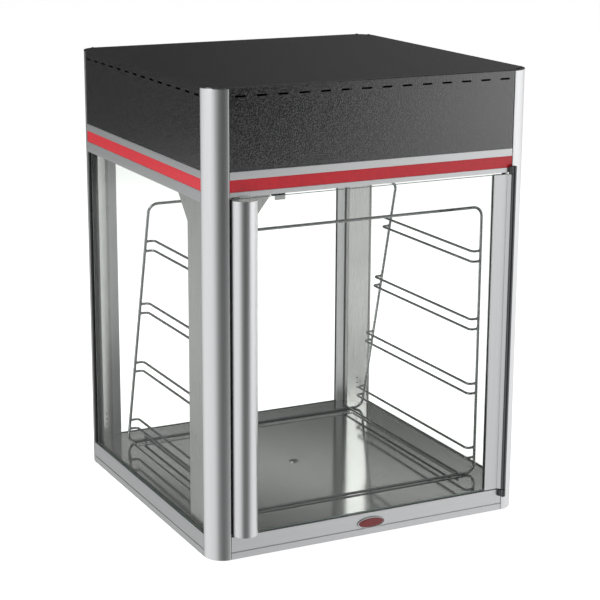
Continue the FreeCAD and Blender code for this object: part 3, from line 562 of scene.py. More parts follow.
@shared
def satin_anodised_aluminium(axis):
    """Extruded 6063, etched and clear anodised: a soft, wide sheen with faint die lines along the bar.
    The lines are under 0.1 mm apart, and are drawn about 1 mm apart so that they show."""
    return grained("satin_anodised_aluminium_" + axis, grain_size(axis, 0.9, 160.0), 3.0,
        tones("aluminium", 0.95, 1.03), (0.3, 0.36), (0.01, 0.4), Metallic=1.0)


@shared
def black_anodised_aluminium(axis):
    """Extruded aluminium, dyed black in the anodising bath: dark, with a narrow satin highlight."""
    return grained("black_anodised_aluminium", grain_size(axis, 0.9, 160.0), 2.0, ("#5C5D5E", "#707172"),
        (0.3, 0.38), Metallic=1.0)


@shared
def textured_black_powder_coat():
    """Polyester powder baked on steel: a fine orange peel that breaks each highlight into grains.
    The texture is about 1 mm across, and is drawn at 2.4 mm so that it shows."""
    # painted glints: the pale grains in the base colour, up to five times the powder colour, stand in for
    # highlights off the peel
    return grained("textured_black_powder_coat", 2.4, 1.0, tones("powder", 0.1, 5.0), (0.1, 0.22),
        (0.14, 0.7), (0.44, 0.66), IOR=1.95)


@shared
def red_vinyl_strip():
    """Cast vinyl laid in the trim's groove: an even, saturated red under a smooth gloss."""
    return grained("red_vinyl_strip", 9.0, 2.0, tones("stripe", 0.93, 1.06), (0.3, 0.36), (0.03, 0.4),
        IOR=1.5, Coat_Weight=0.25, Coat_Roughness=0.12)


@shared
def brushed_stainless(axis, gloss):
    """304 sheet with a number 4 finish: grey steel whose short scratches run one way and drag
    reflections across them. The scratches are finer than 0.1 mm, and are drawn 0.8 mm wide."""
    rough, low, high, relief = {"mirror": ((0.1, 0.13), 0.95, 1.0, 0.03),
        "satin": ((0.26, 0.31), 0.88, 1.03, 0.12)}[gloss]
    made, tree, shader = start_finish(f"brushed_stainless_{axis}_{gloss}", Metallic=1.0)
    scratches = speckle(tree, grain_size(axis, 0.8, 60.0), 3.0)
    clouds = speckle(tree, (70.0, 70.0, 70.0), 1.0)
    mixed = add(tree, "ShaderNodeMath", {0: scratches, 1: 0.75}, operation="MULTIPLY")
    blend = add(tree, "ShaderNodeMath", {0: clouds, 1: 0.25, 2: mixed}, operation="MULTIPLY_ADD").outputs[0]
    tint(tree, shader, blend, *tones("stainless", low, high))
    drive(tree, shader, "Roughness", blend, *rough)
    emboss(tree, shader, scratches, 0.01, relief)
    return made


@shared
def galvanised_steel():
    """Hot dipped zinc: flat grey with pale crystal patches about 12 mm across."""
    made, tree, shader = start_finish("galvanised_steel", Metallic=0.9)
    crystals = speckle(tree, (12.0, 12.0, 12.0), kind="ShaderNodeTexVoronoi")
    tint(tree, shader, crystals, linear("#8C9094"), linear("#B4B8BA"), 0.1, 0.8)
    drive(tree, shader, "Roughness", crystals, 0.38, 0.55)
    return made


@shared
def bright_chrome_plate():
    """Nickel and chrome over drawn steel wire: a clean mirror that shows light and dark side by side,
    a little wavy from the plating."""
    return grained("bright_chrome_plate", 5.0, 1.0, ("#8C8E90", "#A0A2A4"), (0.05, 0.09), (0.06, 0.3),
        Metallic=1.0)


@shared
def polished_steel():
    """Turned and polished stainless: bright, with fine turning marks round the part."""
    return grained("polished_steel", 0.6, 2.0, ("#B8B9BB", "#CBCCCE"), (0.16, 0.26), Metallic=1.0)


@shared
def black_oxide_steel():
    """Steel blackened in hot oxide: near black, with a dull oily sheen that wears grey on high spots."""
    return grained("black_oxide_steel", 1.2, 3.0, ("#121212", "#2A2A2B"), (0.3, 0.46), ramp=(0.4, 0.8),
        Metallic=0.7)


@shared
def toughened_float_glass():
    """Clear soda lime glass, flat and 4 mm thick: nearly nothing straight through, a mirror at a slant,
    with the faint long waves of the toughening rollers."""
    made, tree, shader = start_finish("toughened_float_glass", Metallic=1.0, Roughness=0.01,
        Base_Color=[*linear("#F6F7F7"), 1])
    emboss(tree, shader, speckle(tree, (260.0, 260.0, 90.0), 0.0), 0.02, 0.2)
    clear = add(tree, "ShaderNodeBsdfTransparent", {"Color": [*linear("#FEFFFE"), 1]})
    side = add(tree, "ShaderNodeLayerWeight", {"Blend": 0.5})
    steep = add(tree, "ShaderNodeMath", {0: side.outputs["Facing"], 1: 5.0}, operation="POWER")
    gloss = add(tree, "ShaderNodeMath", {0: steep, 1: 0.55, 2: 0.016}, operation="MULTIPLY_ADD")
    pane = add(tree, "ShaderNodeMixShader", {0: gloss, 1: clear, 2: shader})
    tree.links.new(pane.outputs[0], tree.nodes["Material Output"].inputs["Surface"])
    return made


@shared
def seamed_glass_edge():
    """The ground and polished edge of float glass: a milky grey-green line, from the iron in it."""
    return grained("seamed_glass_edge", 1.5, 2.0, ("#8FA39B", "#B4C4BD"), (0.22, 0.4), IOR=1.5)


@shared
def epdm_rubber():
    """Extruded black rubber: soft and matt, greyer where dust settles."""
    return grained("epdm_rubber", 3.0, 3.0, ("#141414", "#202020"), (0.6, 0.75), (0.05, 0.3), IOR=1.5)


@shared
def moulded_abs(shine):
    """Injection moulded ABS: black, with a fine spark-eroded grain, or smooth where fingers go."""
    rough = {"grained": (0.42, 0.52), "smooth": (0.22, 0.3)}[shine]
    return grained("moulded_abs_" + shine, 0.9, 2.0, ("#151516", "#1E1E1F"), rough, (0.04, 0.35), IOR=1.53)


@shared
def white_ink():
    """Pad printed ink: flat white marks, a little thin at the edges."""
    return grained("white_ink", 0.8, 2.0, ("#D8D8D6", "#EDEDEB"), (0.45, 0.6), IOR=1.5)


@shared
def black_label_plate():
    """Anodised plate, printed black: smooth and half glossy, with a faint brushed grain."""
    return grained("black_label_plate", grain_size("x", 0.7, 30.0), 3.0, ("#1B1B1C", "#262627"), (0.3, 0.4),
        IOR=1.5)


@shared
def red_enamel():
    """Soft enamel flooded in a pressed badge: deep red, glassy and slightly domed."""
    return grained("red_enamel", 6.0, 2.0, tones("badge", 0.85, 1.15), (0.2, 0.28), IOR=1.52, Coat_Weight=0.6,
        Coat_Roughness=0.05)


@shared
def painted_casting():
    """Die cast aluminium under dark grey paint: soft grainy skin."""
    return grained("painted_casting", 1.6, 3.0, ("#3A3D40", "#4A4D50"), (0.45, 0.6), (0.1, 0.4), IOR=1.5)


@shared
def mill_aluminium():
    """Aluminium sheet as rolled: pale, streaky and a little oily."""
    return grained("mill_aluminium", (18.0, 1.5, 1.5), 3.0, ("#C8C9CB", "#DADBDC"), (0.28, 0.4), Metallic=1.0)


@shared
def heat_tinted_sheath():
    """Nickel alloy heater tube after use: grey-brown, with straw and blue bands from the heat."""
    return grained("heat_tinted_sheath", 22.0, 2.0, ("#5E564C", "#77808E"), (0.35, 0.5), Metallic=0.9)


@shared
def frosted_bulb_glass():
    """Acid frosted lamp glass: an even milky white."""
    return grained("frosted_bulb_glass", 2.0, 2.0, ("#E6E2D8", "#F3F0E8"), (0.35, 0.5), IOR=1.5)


# ---- pieces -----------------------------------------------------------------------------------------
def post_round(name, sx, sy):
    """A corner post's box, the radius of its round face and that face's centre."""
    box = Span("post_" + name)
    return box, box.x1 - box.x0, box.x0 if sx > 0 else box.x1, box.y0 if sy > 0 else box.y1


def make_posts():
    """Quarter-round extrusions, each with a thin wall and two legs that the panels meet."""
    for name, (sx, sy) in CORNERS.items():
        box, radius, cx, cy = post_round(name, sx, sy)
        inner, end = radius - POST_WALL, radius - POST_LEG
        tuck = math.degrees(math.asin(POST_WALL / inner))
        outline = arc(radius, 0, 90, 36) + [(0, end), (POST_WALL, end)]
        outline += arc(inner, 90 - tuck, tuck, 24) + [(end, POST_WALL), (end, 0)]
        made = Shape().prism([(cx + sx * a, cy + sy * b) for a, b in outline], box.z0, box.z1)
        fit("corner_post_" + name, made, satin_anodised_aluminium("z"), "anodised_aluminium",
            nodes=["post_" + name])


def make_side_bars(kind, prefix, profile_of):
    """One bar along each side from a profile of (depth in from the outer face, z)."""
    for side, turn in SIDES.items():
        node = f"{kind}_{side}"
        box = Span(node, turn)
        profile = [(box.y0 + depth, z) for depth, z in profile_of(side, box)]
        made = Shape().prism(profile, box.x0, box.x1, "x").turned(turn)
        finish = satin_anodised_aluminium("x" if side in ("front", "rear") else "y")
        fit(f"{prefix}_{side}", made, finish, "anodised_aluminium", nodes=[node])


def make_rails():
    """The eight extrusions below and above the glass."""
    make_side_bars("base_rail", "base_extrusion", base_profile)
    make_side_bars("trim_rail", "trim_extrusion", trim_profile)


def base_profile(side, box):
    z0, z1 = box.z0, box.z1
    groove = z0 + 12
    floor = z1 - 3.7
    return [(0, z0), (16, z0), (16, z0 + 2.2), (GROOVE_OUTER, z0 + 2.2), (GROOVE_OUTER, floor - 1.8),
        (LIP, floor - 1.8), (LIP, z1), (GROOVE_INNER, z1), (GROOVE_INNER, floor), (GROOVE_OUTER, floor),
        (GROOVE_OUTER, z1), (0, z1), (0, groove + 0.9), (1.0, groove + 0.35), (1.0, groove - 0.35),
        (0, groove - 0.9)]


def trim_profile(side, box):
    z0, z1 = box.z0, box.z1
    head = [(4, z1 - 2), (20, z1 - 2), (20, z1), (0, z1), (0, STRIPE_HIGH), (STRIPE_DEEP, STRIPE_HIGH),
        (STRIPE_DEEP, STRIPE_LOW), (0, STRIPE_LOW)]
    if side == "front":
        return [(0, z0), (12, z0), (12, z0 + 2), (4, z0 + 2)] + head
    roof = z0 + 5.7
    return [(0, z0), (GROOVE_OUTER, z0), (GROOVE_OUTER, roof), (GROOVE_INNER, roof), (GROOVE_INNER, z0),
        (LIP, z0), (LIP, roof + 2), (4, roof + 2)] + head


def make_stripes():
    """The red strips in the trims' grooves, all one piece."""
    made, turned = Shape(), 0
    for side, turn in SIDES.items():
        made.turned(turned - turn)      # so that this side's strip is made facing the front
        turned = turn
        box = Span("trim_rail_" + side, turn)
        face, back = box.y0 + 0.4, box.y0 + STRIPE_DEEP
        low, high = STRIPE_LOW + 0.1, STRIPE_HIGH - 0.1
        made.prism([(face, low), (back, low), (back, high), (face, high)], box.x0, box.x1, "x")
    made.turned(turned)
    fit("trim_stripes", made, red_vinyl_strip(), "red_stripe", nodes=["stripe_inserts"], edge=0.2)


def make_header_panels():
    """Folded black panels with a row of vents, and the rear one's cutouts."""
    coat = textured_black_powder_coat()
    sizes = bpy.context.scene.cabinet_sizes
    plate = Span("control_plate")
    for side, turn in SIDES.items():
        node = "header_panel_" + side
        box = Span(node, turn)
        out, deep, z0, z1 = box.y0, box.y1, box.z0, box.z1
        profile = [(out, z0), (deep, z0), (deep, z0 + SHEET), (out + SHEET, z0 + SHEET),
            (out + SHEET, z1 - SHEET), (deep, z1 - SHEET), (deep, z1), (out, z1)]
        made = show("vented_" + node, Shape().prism(profile, box.x0, box.x1, "x").mesh(node))
        length, height = sizes.slot_length / MM, sizes.slot_height / MM
        punch_row(made, coat, (0, out, z1 - 12), (sizes.slot_pitch / MM, 0, 0), sizes.slot_count, length,
            height, height * 0.49, 3.0, FACING_Y)
        if side == "rear":
            # Seen from behind, X runs the other way until the panel is turned.
            z = plate.centre.z
            holes = [(Span(name).centre.x, z, *hole) for name, *hole in CUTOUTS]
            gland = Span("cord_gland").centre
            for x, z, *hole in holes + [(gland.x, gland.z, 18, 18, 8.9)]:
                punch_row(made, coat, (-x, out, z), (1, 0, 0), 1, *hole, 3.0, FACING_Y)
        settle(made)
        made.data.transform(Matrix.Rotation(math.radians(turn), 4, "Z"))
        install(made, coat, "black_powder_coat", nodes=[node], edge=0)


def make_top_cover():
    """The flat lid, with a rolled edge and corners as round as the posts."""
    box = Span("top_cover")
    radius = Span("post_front_left").x1 - Span("post_front_left").x0 + 0.5

    edge = ((0.4, box.z0), (0, box.z0 + 0.4), (0, box.z1 - 1.0), (0.3, box.z1 - 0.3), (1.0, box.z1))
    made = Shape().loft([plate_ring(box.x0 + inset, box.x1 - inset, box.y0 + inset, box.y1 - inset,
        radius - inset, z, 16) for inset, z in edge])
    fit("lid_cover", made, textured_black_powder_coat(), "black_powder_coat", nodes=["top_cover"], edge=0)


def make_screws():
    """The lid's screws in the posts' ports, and those at the foot of the rear ducts."""
    cover = Span("top_cover")
    seats = []
    for name, (sx, sy) in CORNERS.items():
        box, radius, cx, cy = post_round(name, sx, sy)
        for angle in (20, 70):
            a, b = arc(radius - PORT_INSET, angle, angle, 1)[0]
            seats.append(((cx + sx * a, cy + sy * b, cover.z1 - 0.2), (0, 0, 1)))
    set_screws("cover_screws", seats, black_oxide_steel(), "black_powder_coat", 3.0, 1.8, ["panel_screws"])

    seats = []
    for side, node in ((-1, "duct_rear_left"), (1, "duct_rear_right")):
        box = Span(node)
        outer_x, inner_x = (box.x0, box.x1 - 6.0) if side < 0 else (box.x1, box.x0 + 6.0)
        a, b = Vector((outer_x, box.y0 + 6.0, 0)), Vector((inner_x, box.y1, 0))
        inward = Vector((-(b - a).y * side, (b - a).x * side, 0)).normalized()
        if inward.y > 0:
            inward = -inward
        for z in (70.0, 80.0, 90.0):
            seats.append((tuple((a + b) / 2 + inward * (SHEET - 0.1) + Vector((0, 0, z))), tuple(inward)))
    set_screws("duct_screws", seats, polished_steel(), "polished_steel", 2.2, 1.5)


def make_feet():
    """Four rubber pads, one under each corner."""
    pads = Shape()
    box = Span("foot_pads")
    for x in (box.x0 + 16, box.x1 - 16):
        for y in (box.y0 + 16, box.y1 - 16):
            pads.lathe([(14.6, box.z0), (15.6, box.z0 + 0.5), (16, box.z0 + 1.4), (15.6, box.z1 - 0.3),
                (15.0, box.z1)], (x, y, 0))
    fit("rubber_feet", pads, epdm_rubber(), "black_rubber", nodes=["foot_pads"], edge=0)


def make_floor():
    """The removable pan with a coved well, the ledge round it and the drain plug."""
    ledge, pan = Span("floor_ledge"), Span("floor_pan")
    reach_x = Span("post_front_right").x0
    reach_y = Span("post_rear_right").y0
    stop_x = reach_x + 23 - (ledge.y1 - reach_y)
    stop_y = reach_y + 23 - (ledge.x1 - reach_x)
    steps = 4
    gap, corner = 1.6, 3.0

    def ledge_ring(z):
        made = []
        for sx, sy in ((1, 1), (-1, 1), (-1, -1), (1, -1)):
            a, b = Vector((sx * ledge.x1, sy * stop_y)), Vector((sx * stop_x, sy * ledge.y1))
            if sx * sy < 0:
                a, b = b, a
            made += [tuple(a.lerp(b, i / steps)) for i in range(steps + 1)]
        return [(x, y, z) for x, y in made]

    def pan_ring(inset, z, radius, steps=6):
        return plate_ring(pan.x0 + inset, pan.x1 - inset, pan.y0 + inset, pan.y1 - inset, radius, z, steps)

    hole = ((gap + 0.9, ledge.z1), (gap + 0.2, ledge.z1 - 0.35), (gap, ledge.z0))
    made = Shape().loft([ledge_ring(ledge.z0), ledge_ring(ledge.z1)] +
        [pan_ring(-out, z, corner, steps) for out, z in hole], closed=True)
    fit("floor_surround", made, brushed_stainless("x", "mirror"), "brushed_stainless", nodes=["floor_ledge"],
        edge=0)

    well = pan.z1 - 2.4     # the well's floor

    section = ((0.6, pan.z0, 3), (0, pan.z0 + 0.6, 3), (0, pan.z1 - 0.7, 3), (0.25, pan.z1 - 0.2, 3),
        (0.8, pan.z1, 3), (1.8, pan.z1, 4), (2.2, pan.z1 - 0.25, 4.4), (2.5, pan.z1 - 0.9, 4.7),
        (2.8, well + 0.3, 5), (3.1, well + 0.08, 5.3), (3.5, well, 5.7))
    made = Shape().loft([pan_ring(*step) for step in section])
    fit("removable_floor_pan", made, brushed_stainless("y", "mirror"), "brushed_stainless",
        nodes=["floor_pan"], edge=0, smooth=50)

    plug = Span("floor_plug")
    radius = (plug.x1 - plug.x0) / 2
    made = Shape().lathe([(5.6, plug.z0), (6.0, plug.z0 + 0.4), (6.0, well), (radius, well + 0.05),
        (radius, well + 0.5), (radius - 0.5, well + 1.0), (radius - 1.8, well + 1.35), (3.0, well + 1.55),
        (0.6, well + 1.6)], (plug.centre.x, plug.centre.y, 0))
    fit("drain_plug", made, polished_steel(), "polished_steel", nodes=["floor_plug"], edge=0, smooth=50)


def make_glazing():
    """The three fixed panes and the grooved stiles that hold the rear one."""
    for side in ("left", "right", "rear"):
        node, turn = "glass_" + side, SIDES[side]
        make_pane("pane_" + side, Span(node, turn), turn, "cabinet", node)
    rail_top = Span("base_rail_rear").z1
    stiles = Span("rear_stiles")
    reach = Span("post_rear_right").x0
    for name, s in (("left", -1), ("right", 1)):
        inner, outer = s * (reach - 28), s * (reach - 0.6)
        deep = s * (reach - 2.0)
        y0, y1 = stiles.y0, stiles.y1
        g0, g1 = y1 + 0.6 - GROOVE_INNER, y1 + 0.6 - GROOVE_OUTER
        outline = [(inner, y0), (outer, y0), (outer, y1), (inner, y1), (inner, g1), (deep, g1), (deep, g0),
            (inner, g0)]
        made = Shape().prism(outline, rail_top, stiles.z1)
        fit("rear_glazing_stile_" + name, made, satin_anodised_aluminium("z"), "anodised_aluminium",
            nodes=["rear_stiles"])


def make_pane(name, box, turn, body, node):
    """A flat pane with seamed edges, made facing the front and turned to its side."""
    seam = 0.5
    edge = ((seam, box.y0), (0, box.y0 + seam), (0, box.y1 - seam), (seam, box.y1))
    made = Shape().loft([plate_ring(box.x0 + inset, box.x1 - inset, box.z0 + inset, box.z1 - inset, 2.0, y, 3,
        "y") for inset, y in edge], side_mark=1).turned(turn)
    fit(name, made, [toughened_float_glass(), seamed_glass_edge()], "tempered_glass", body, [node], edge=0,
        smooth=20)


def sheet_outline(path, thick, bend):
    """The closed outline of a folded sheet whose outer face follows a path."""
    normals = [Vector((-(b[1] - a[1]), b[0] - a[0])).normalized() for a, b in zip(path, path[1:])]
    inner = []
    for i, spot in enumerate(path):
        before, after = normals[max(i - 1, 0)], normals[min(i, len(normals) - 1)]
        inner.append(tuple(Vector(spot) + (before + after) * (thick / (1 + before.dot(after)))))
    ends = len(path) - 1
    outer_bends = [0 if i in (0, ends) else bend + thick for i in range(len(path))]
    inner_bends = [0 if i in (0, ends) else bend for i in range(len(path))]
    return rounded(path + inner[::-1], outer_bends + inner_bends[::-1])


def make_corner_sheets():
    """The folded covers over three corners, each a flat face between two flanges."""
    finish = brushed_stainless("z", "satin")
    for node, name, (sx, sy) in (("duct_rear_left", "rear_air_duct_left", (-1, 1)),
            ("duct_rear_right", "rear_air_duct_right", (1, 1)),
            ("post_cover_front_right", "corner_cover_front_right", (1, -1))):
        box = Span(node)
        x1, y1 = max(abs(box.x0), abs(box.x1)), max(abs(box.y0), abs(box.y1))
        x0, y0 = min(abs(box.x0), abs(box.x1)), min(abs(box.y0), abs(box.y1))
        path = [(x1, y0), (x1, y0 + 6), (x0 + 6, y1), (x0, y1)]
        outline = [(sx * x, sy * y) for x, y in sheet_outline(path, SHEET, 0.8)]
        made = Shape().prism(outline, box.z0, box.z1)
        fit(name, made, finish, "brushed_stainless", nodes=[node], edge=0.15)


def make_front_duct():
    """The folded duct in the front left corner, flared out under the ceiling, with air outlets."""
    box = Span("duct_front_left")
    finish = brushed_stainless("z", "satin")
    narrow, wide = (box.x0, -200.0, -165.0), (box.x0, box.x1, box.y1)

    def ring(size, z, inset):
        x0, x1, y1 = size
        y0 = box.y0
        run, rise = x1 - x0, y1 - y0
        shrink = inset * (run + rise + math.hypot(run, rise)) / (run * rise)
        a, b = x0 + inset, y0 + inset
        corners = [(a, b), (a + run * (1 - shrink), b), (a, b + rise * (1 - shrink))]
        bend = 2.2 - inset
        return [(x, y, z) for x, y in rounded(corners, [bend, bend, bend], 4)]

    levels = ((narrow, box.z0), (narrow, DUCT_FLARE_START), (wide, DUCT_MOUTH), (wide, box.z1))
    rings = [ring(size, z, 0) for size, z in levels] + [ring(size, z, SHEET) for size, z in levels[::-1]]
    made = show("front_air_duct", Shape().loft(rings, closed=True).mesh("duct"))
    run, rise = narrow[1] - narrow[0], narrow[2] - box.y0
    middle = (narrow[0] + run / 2, box.y0 + rise / 2, OUTLET_MIDDLE)
    angle = -math.degrees(math.atan2(rise, run))
    punch_row(made, finish, middle, (0, 0, OUTLET_PITCH), OUTLETS, *OUTLET_SHAPE, 6.0, (90, 0, angle))
    install(made, finish, "brushed_stainless", nodes=["duct_front_left"], edge=0)


def make_door():
    """The pane, its grip, its stile, barrel and pins, and what the catch holds."""
    aluminium = satin_anodised_aluminium("z")
    glass = Span("door_glass")
    make_pane("door_pane", glass, 0, "door", "door_glass")

    grip = Span("door_handle")
    wall, lip = 2.4, -25.0
    radius = -(grip.y0) + Span("base_rail_front").y0
    centre = (grip.x0 + radius, grip.y0 + radius)
    front = centre[1] - 0.6
    inner = radius - wall
    dip = math.degrees(math.asin(0.6 / inner))
    outline = arc(radius, -180, lip, 56, centre)
    middle = radius - wall / 2
    end = (centre[0] + middle * math.cos(math.radians(lip)), centre[1] + middle * math.sin(math.radians(lip)))
    outline += arc(wall / 2, lip + 30, lip + 150, 6, end)
    outline += arc(inner, lip, -180 + dip, 48, centre)
    tip = grip.x0 + 13
    outline += [(tip, front), (tip, glass.y0), (grip.x0 + 2, glass.y0), (grip.x0 + 2, glass.y1),
        (tip, glass.y1), (tip, grip.y1), (grip.x0, grip.y1)]
    made = Shape().prism(outline, grip.z0, grip.z1)
    fit("door_grip", made, aluminium, "anodised_aluminium", "door", ["door_handle"])

    hinge_x, hinge_y, _ = joint_at("door_hinge")
    stile = Span("door_stile")
    edge = glass.x1
    y0 = glass.y0 - 2.4
    outline = [(stile.x0, y0), (edge + 2, y0), (edge + 2, stile.y1), (stile.x0, stile.y1),
        (stile.x0, glass.y1), (edge, glass.y1), (edge, glass.y0), (stile.x0, glass.y0)]
    made = Shape().prism(outline, stile.z0, stile.z1)
    web = [(edge + 1, y0 + 0.1), (edge + 3.6, y0 + 3.8), (edge + 4.4, y0 + 3.6), (hinge_x - 1, hinge_y + 2),
        (hinge_x - 3, hinge_y - 1)]
    made.prism(web, stile.z0, stile.z1)
    fit("door_stile_channel", made, aluminium, "anodised_aluminium", "door", ["door_stile"])

    barrel, pin = 4.5, 2.5
    z0, z1 = stile.z0, stile.z1
    wall = [(pin, z0), (barrel - 0.5, z0), (barrel, z0 + 0.5), (barrel, z1 - 0.5), (barrel - 0.5, z1),
        (pin, z1)]
    made = Shape().lathe(wall, (hinge_x, hinge_y, 0), steps=40, closed=True)
    fit("door_hinge_barrel", made, black_anodised_aluminium("z"), "anodised_aluminium", "door",
        ["door_stile"], edge=0.2)

    pins = Span("door_pins")
    made = Shape()
    for low, high in ((pins.z0, stile.z0 + 14), (stile.z1 - 14, pins.z1)):
        made.lathe([(pin - 0.7, low), (pin - 0.05, low + 0.6), (pin - 0.05, high - 0.6), (pin - 0.7, high)],
            (hinge_x, hinge_y, 0), steps=28)
    fit("hinge_pins", made, polished_steel(), "polished_steel", "door", ["door_pins"], edge=0)

    made = Shape()
    strikes = Span("door_strikes")
    catch = Span("magnetic_catch").centre
    made.prism(rounded_box(catch.x - 9, catch.x + 9, strikes.z1 - 9.6, strikes.z1 - 2.1, 1.5), glass.y1,
        glass.y1 + SHEET, "y")
    made.prism(rounded_box(grip.x0 + 1, grip.x0 + 17, glass.y0 + 0.5, grip.y1, 1.0), glass.z1, strikes.z1)
    fit("door_strike_plates", made, brushed_stainless("x", "satin"), "brushed_stainless", "door",
        ["door_strikes"], edge=0.2)
    made = Shape().lathe([(2.6, glass.z1 + 1.4), (2.6, glass.z1 + 2.0), (2.1, glass.z1 + 2.5),
        (1.0, glass.z1 + 2.7)], (grip.x0 + 4.2, grip.y1 - 4.2, 0), steps=20)
    fit("door_stop_bumper", made, epdm_rubber(), "black_rubber", "door", edge=0)


def make_door_seal():
    """The black foam strip on the post that the door's free edge closes against."""
    grip, post = Span("door_handle"), Span("post_front_left")
    made = Shape().prism([(post.x1 + 0.1, grip.y1 - 4), (grip.x0 - 0.8, grip.y1 - 3.4),
        (grip.x0 - 0.8, grip.y1 + 0.4), (post.x1 + 0.1, grip.y1 + 1)], grip.z0, grip.z1)
    fit("door_edge_seal", made, epdm_rubber(), "black_rubber")


def make_hinges():
    """The fixed cups that the door's pins turn in, and the magnetic catch."""
    hx, hy, _ = joint_at("door_hinge")
    glass, rail, trim = Span("door_glass"), Span("base_rail_front"), Span("trim_rail_front")
    face = rail.y0
    made = Shape()
    for end, way, foot in ((glass.z0, -1, rail.z1), (glass.z1, 1, trim.z0)):
        near, far, blind = end + 0.6 * way, end + 14 * way, end + 12.6 * way
        made.lathe([(2.56, blind), (2.56, near), (4.0, near), (4.5, near + 0.4 * way), (4.5, far - 1.2 * way),
            (4.0, far - 0.35 * way), (2.6, far)], (hx, hy, 0), steps=36)
        made.prism([(hx - 7, hy + 1.5), (hx - 4, hy - 1.0), (hx - 0.6, hy - 1.0), (hx - 0.6, face),
            (hx - 7, face)], min(foot, far - way), max(foot, far - way))
    fit("hinge_cups", made, black_anodised_aluminium("z"), "brushed_stainless", nodes=["hinge_brackets"],
        edge=0.25)

    catch = Span("magnetic_catch")
    made = Shape()
    made.block(catch.centre.x - 1, catch.x1, catch.y0 + 0.8, catch.y1, catch.z0, catch.z1)
    made.mark = 1
    made.block(catch.x0, catch.centre.x - 1.2, catch.y0 + 1.4, catch.y1 - 1, catch.z1 - 5.0, catch.z1)
    for x in (catch.centre.x + 1.2, catch.x1 - 3.0):
        made.block(x, x + 1.4, catch.y0, catch.y1 - 2, catch.z0 - 0.4, catch.z1 - 1)
    fit("door_magnet", made, [moulded_abs("grained"), polished_steel()], "black_plastic",
        nodes=["magnetic_catch"], edge=0.25)


def make_rack():
    """Two bent frames, the pairs of pan slides between them, and two wires on the floor."""
    chrome = bright_chrome_plate()
    sizes = bpy.context.scene.cabinet_sizes
    front, rear = Span("rack_front_frame"), Span("rack_rear_frame")
    left, right = front.x0 + WIRE, front.x1 - WIRE
    foot, head = front.z0 + WIRE, front.z1 - WIRE
    y_front = front.centre.y
    rear_head = rear.z1 - WIRE
    lean = ((rear.y1 - WIRE, foot), (rear.y0 + WIRE, rear_head))

    def rear_y(z):
        (y0, z0), (y1, z1) = lean
        return y0 + (y1 - y0) * (z - z0) / (z1 - z0)

    def wire(name, node, lines, radius, bend, bead, closed):
        run = Shape()
        for points in lines:
            run.line(points, closed)
        made = show(name, run.mesh(name))
        run_tree(made, wire_tree(), chrome, wire=radius * MM, bend=bend, bead=bead * MM, sides=16)
        install(made, chrome, "chrome_wire", nodes=[node], edge=0, smooth=50)

    def loop(place, top):
        middle = (foot + top) / 2
        return [(left, place(middle), middle), (left, place(top), top), (right, place(top), top),
            (right, place(foot), foot), (left, place(foot), foot)]

    wire("rack_frame_front", "rack_front_frame", [loop(lambda z: y_front, head)], WIRE, sizes.frame_bend, 0.5,
        True)
    wire("rack_frame_rear", "rack_rear_frame", [loop(rear_y, rear_head)], WIRE, sizes.frame_bend, 0.5, True)
    slides = []
    for x, inward in ((left, 1), (right, -1)):
        near, far = x + inward * (WIRE + 0.4), x + inward * SLIDE_INSET
        for pair in SLIDE_PAIRS:
            for z in pair:
                slides.append([(near, y_front, z), (far, y_front, z), (far, rear_y(z), z),
                    (near, rear_y(z), z)])
    wire("rack_pan_slides", "rack_slides", slides, SLIDE_WIRE, sizes.slide_bend, 2.7, False)
    across = Span("rack_floor_wires")
    lift = foot + WIRE + FLOOR_WIRE - 0.3
    rests = [[(x, across.y0, lift), (x, across.y1, lift)]
        for x in (across.x0 + FLOOR_WIRE, across.x1 - FLOOR_WIRE)]
    wire("rack_cross_wires", "rack_floor_wires", rests, FLOOR_WIRE, sizes.slide_bend, 2.0, False)


def make_badge():
    """A blank oval badge: a polished rim round a domed enamel face."""
    box = Span("badge")
    cx, cz = box.centre.x, box.centre.z
    a, b, deep = (box.x1 - box.x0) / 2, (box.z1 - box.z0) / 2, box.y1 - box.y0

    def oval(inset, out):
        return [(cx + (a - inset) * math.cos(t), box.y1 - out, cz + (b - inset) * math.sin(t))
            for t in [math.radians(i * 6) for i in range(60)]]

    rim = Shape().loft([oval(0, 0), oval(0, deep - 0.5), oval(0.3, deep - 0.12), oval(0.9, deep),
        oval(2.0, deep - 0.08), oval(2.5, deep - 0.6), oval(2.5, 0)], closed=True)
    fit("badge_rim", rim, polished_steel(), "polished_steel", nodes=["badge"], edge=0, smooth=60)
    face = Shape().loft([oval(2.45, 0.1), oval(2.45, deep - 0.55), oval(3.6, deep - 0.38),
        oval(5.5, deep - 0.22), oval(8.0, deep - 0.14)])
    fit("badge_enamel_face", face, red_enamel(), "badge_enamel", nodes=["badge"], edge=0, smooth=60)


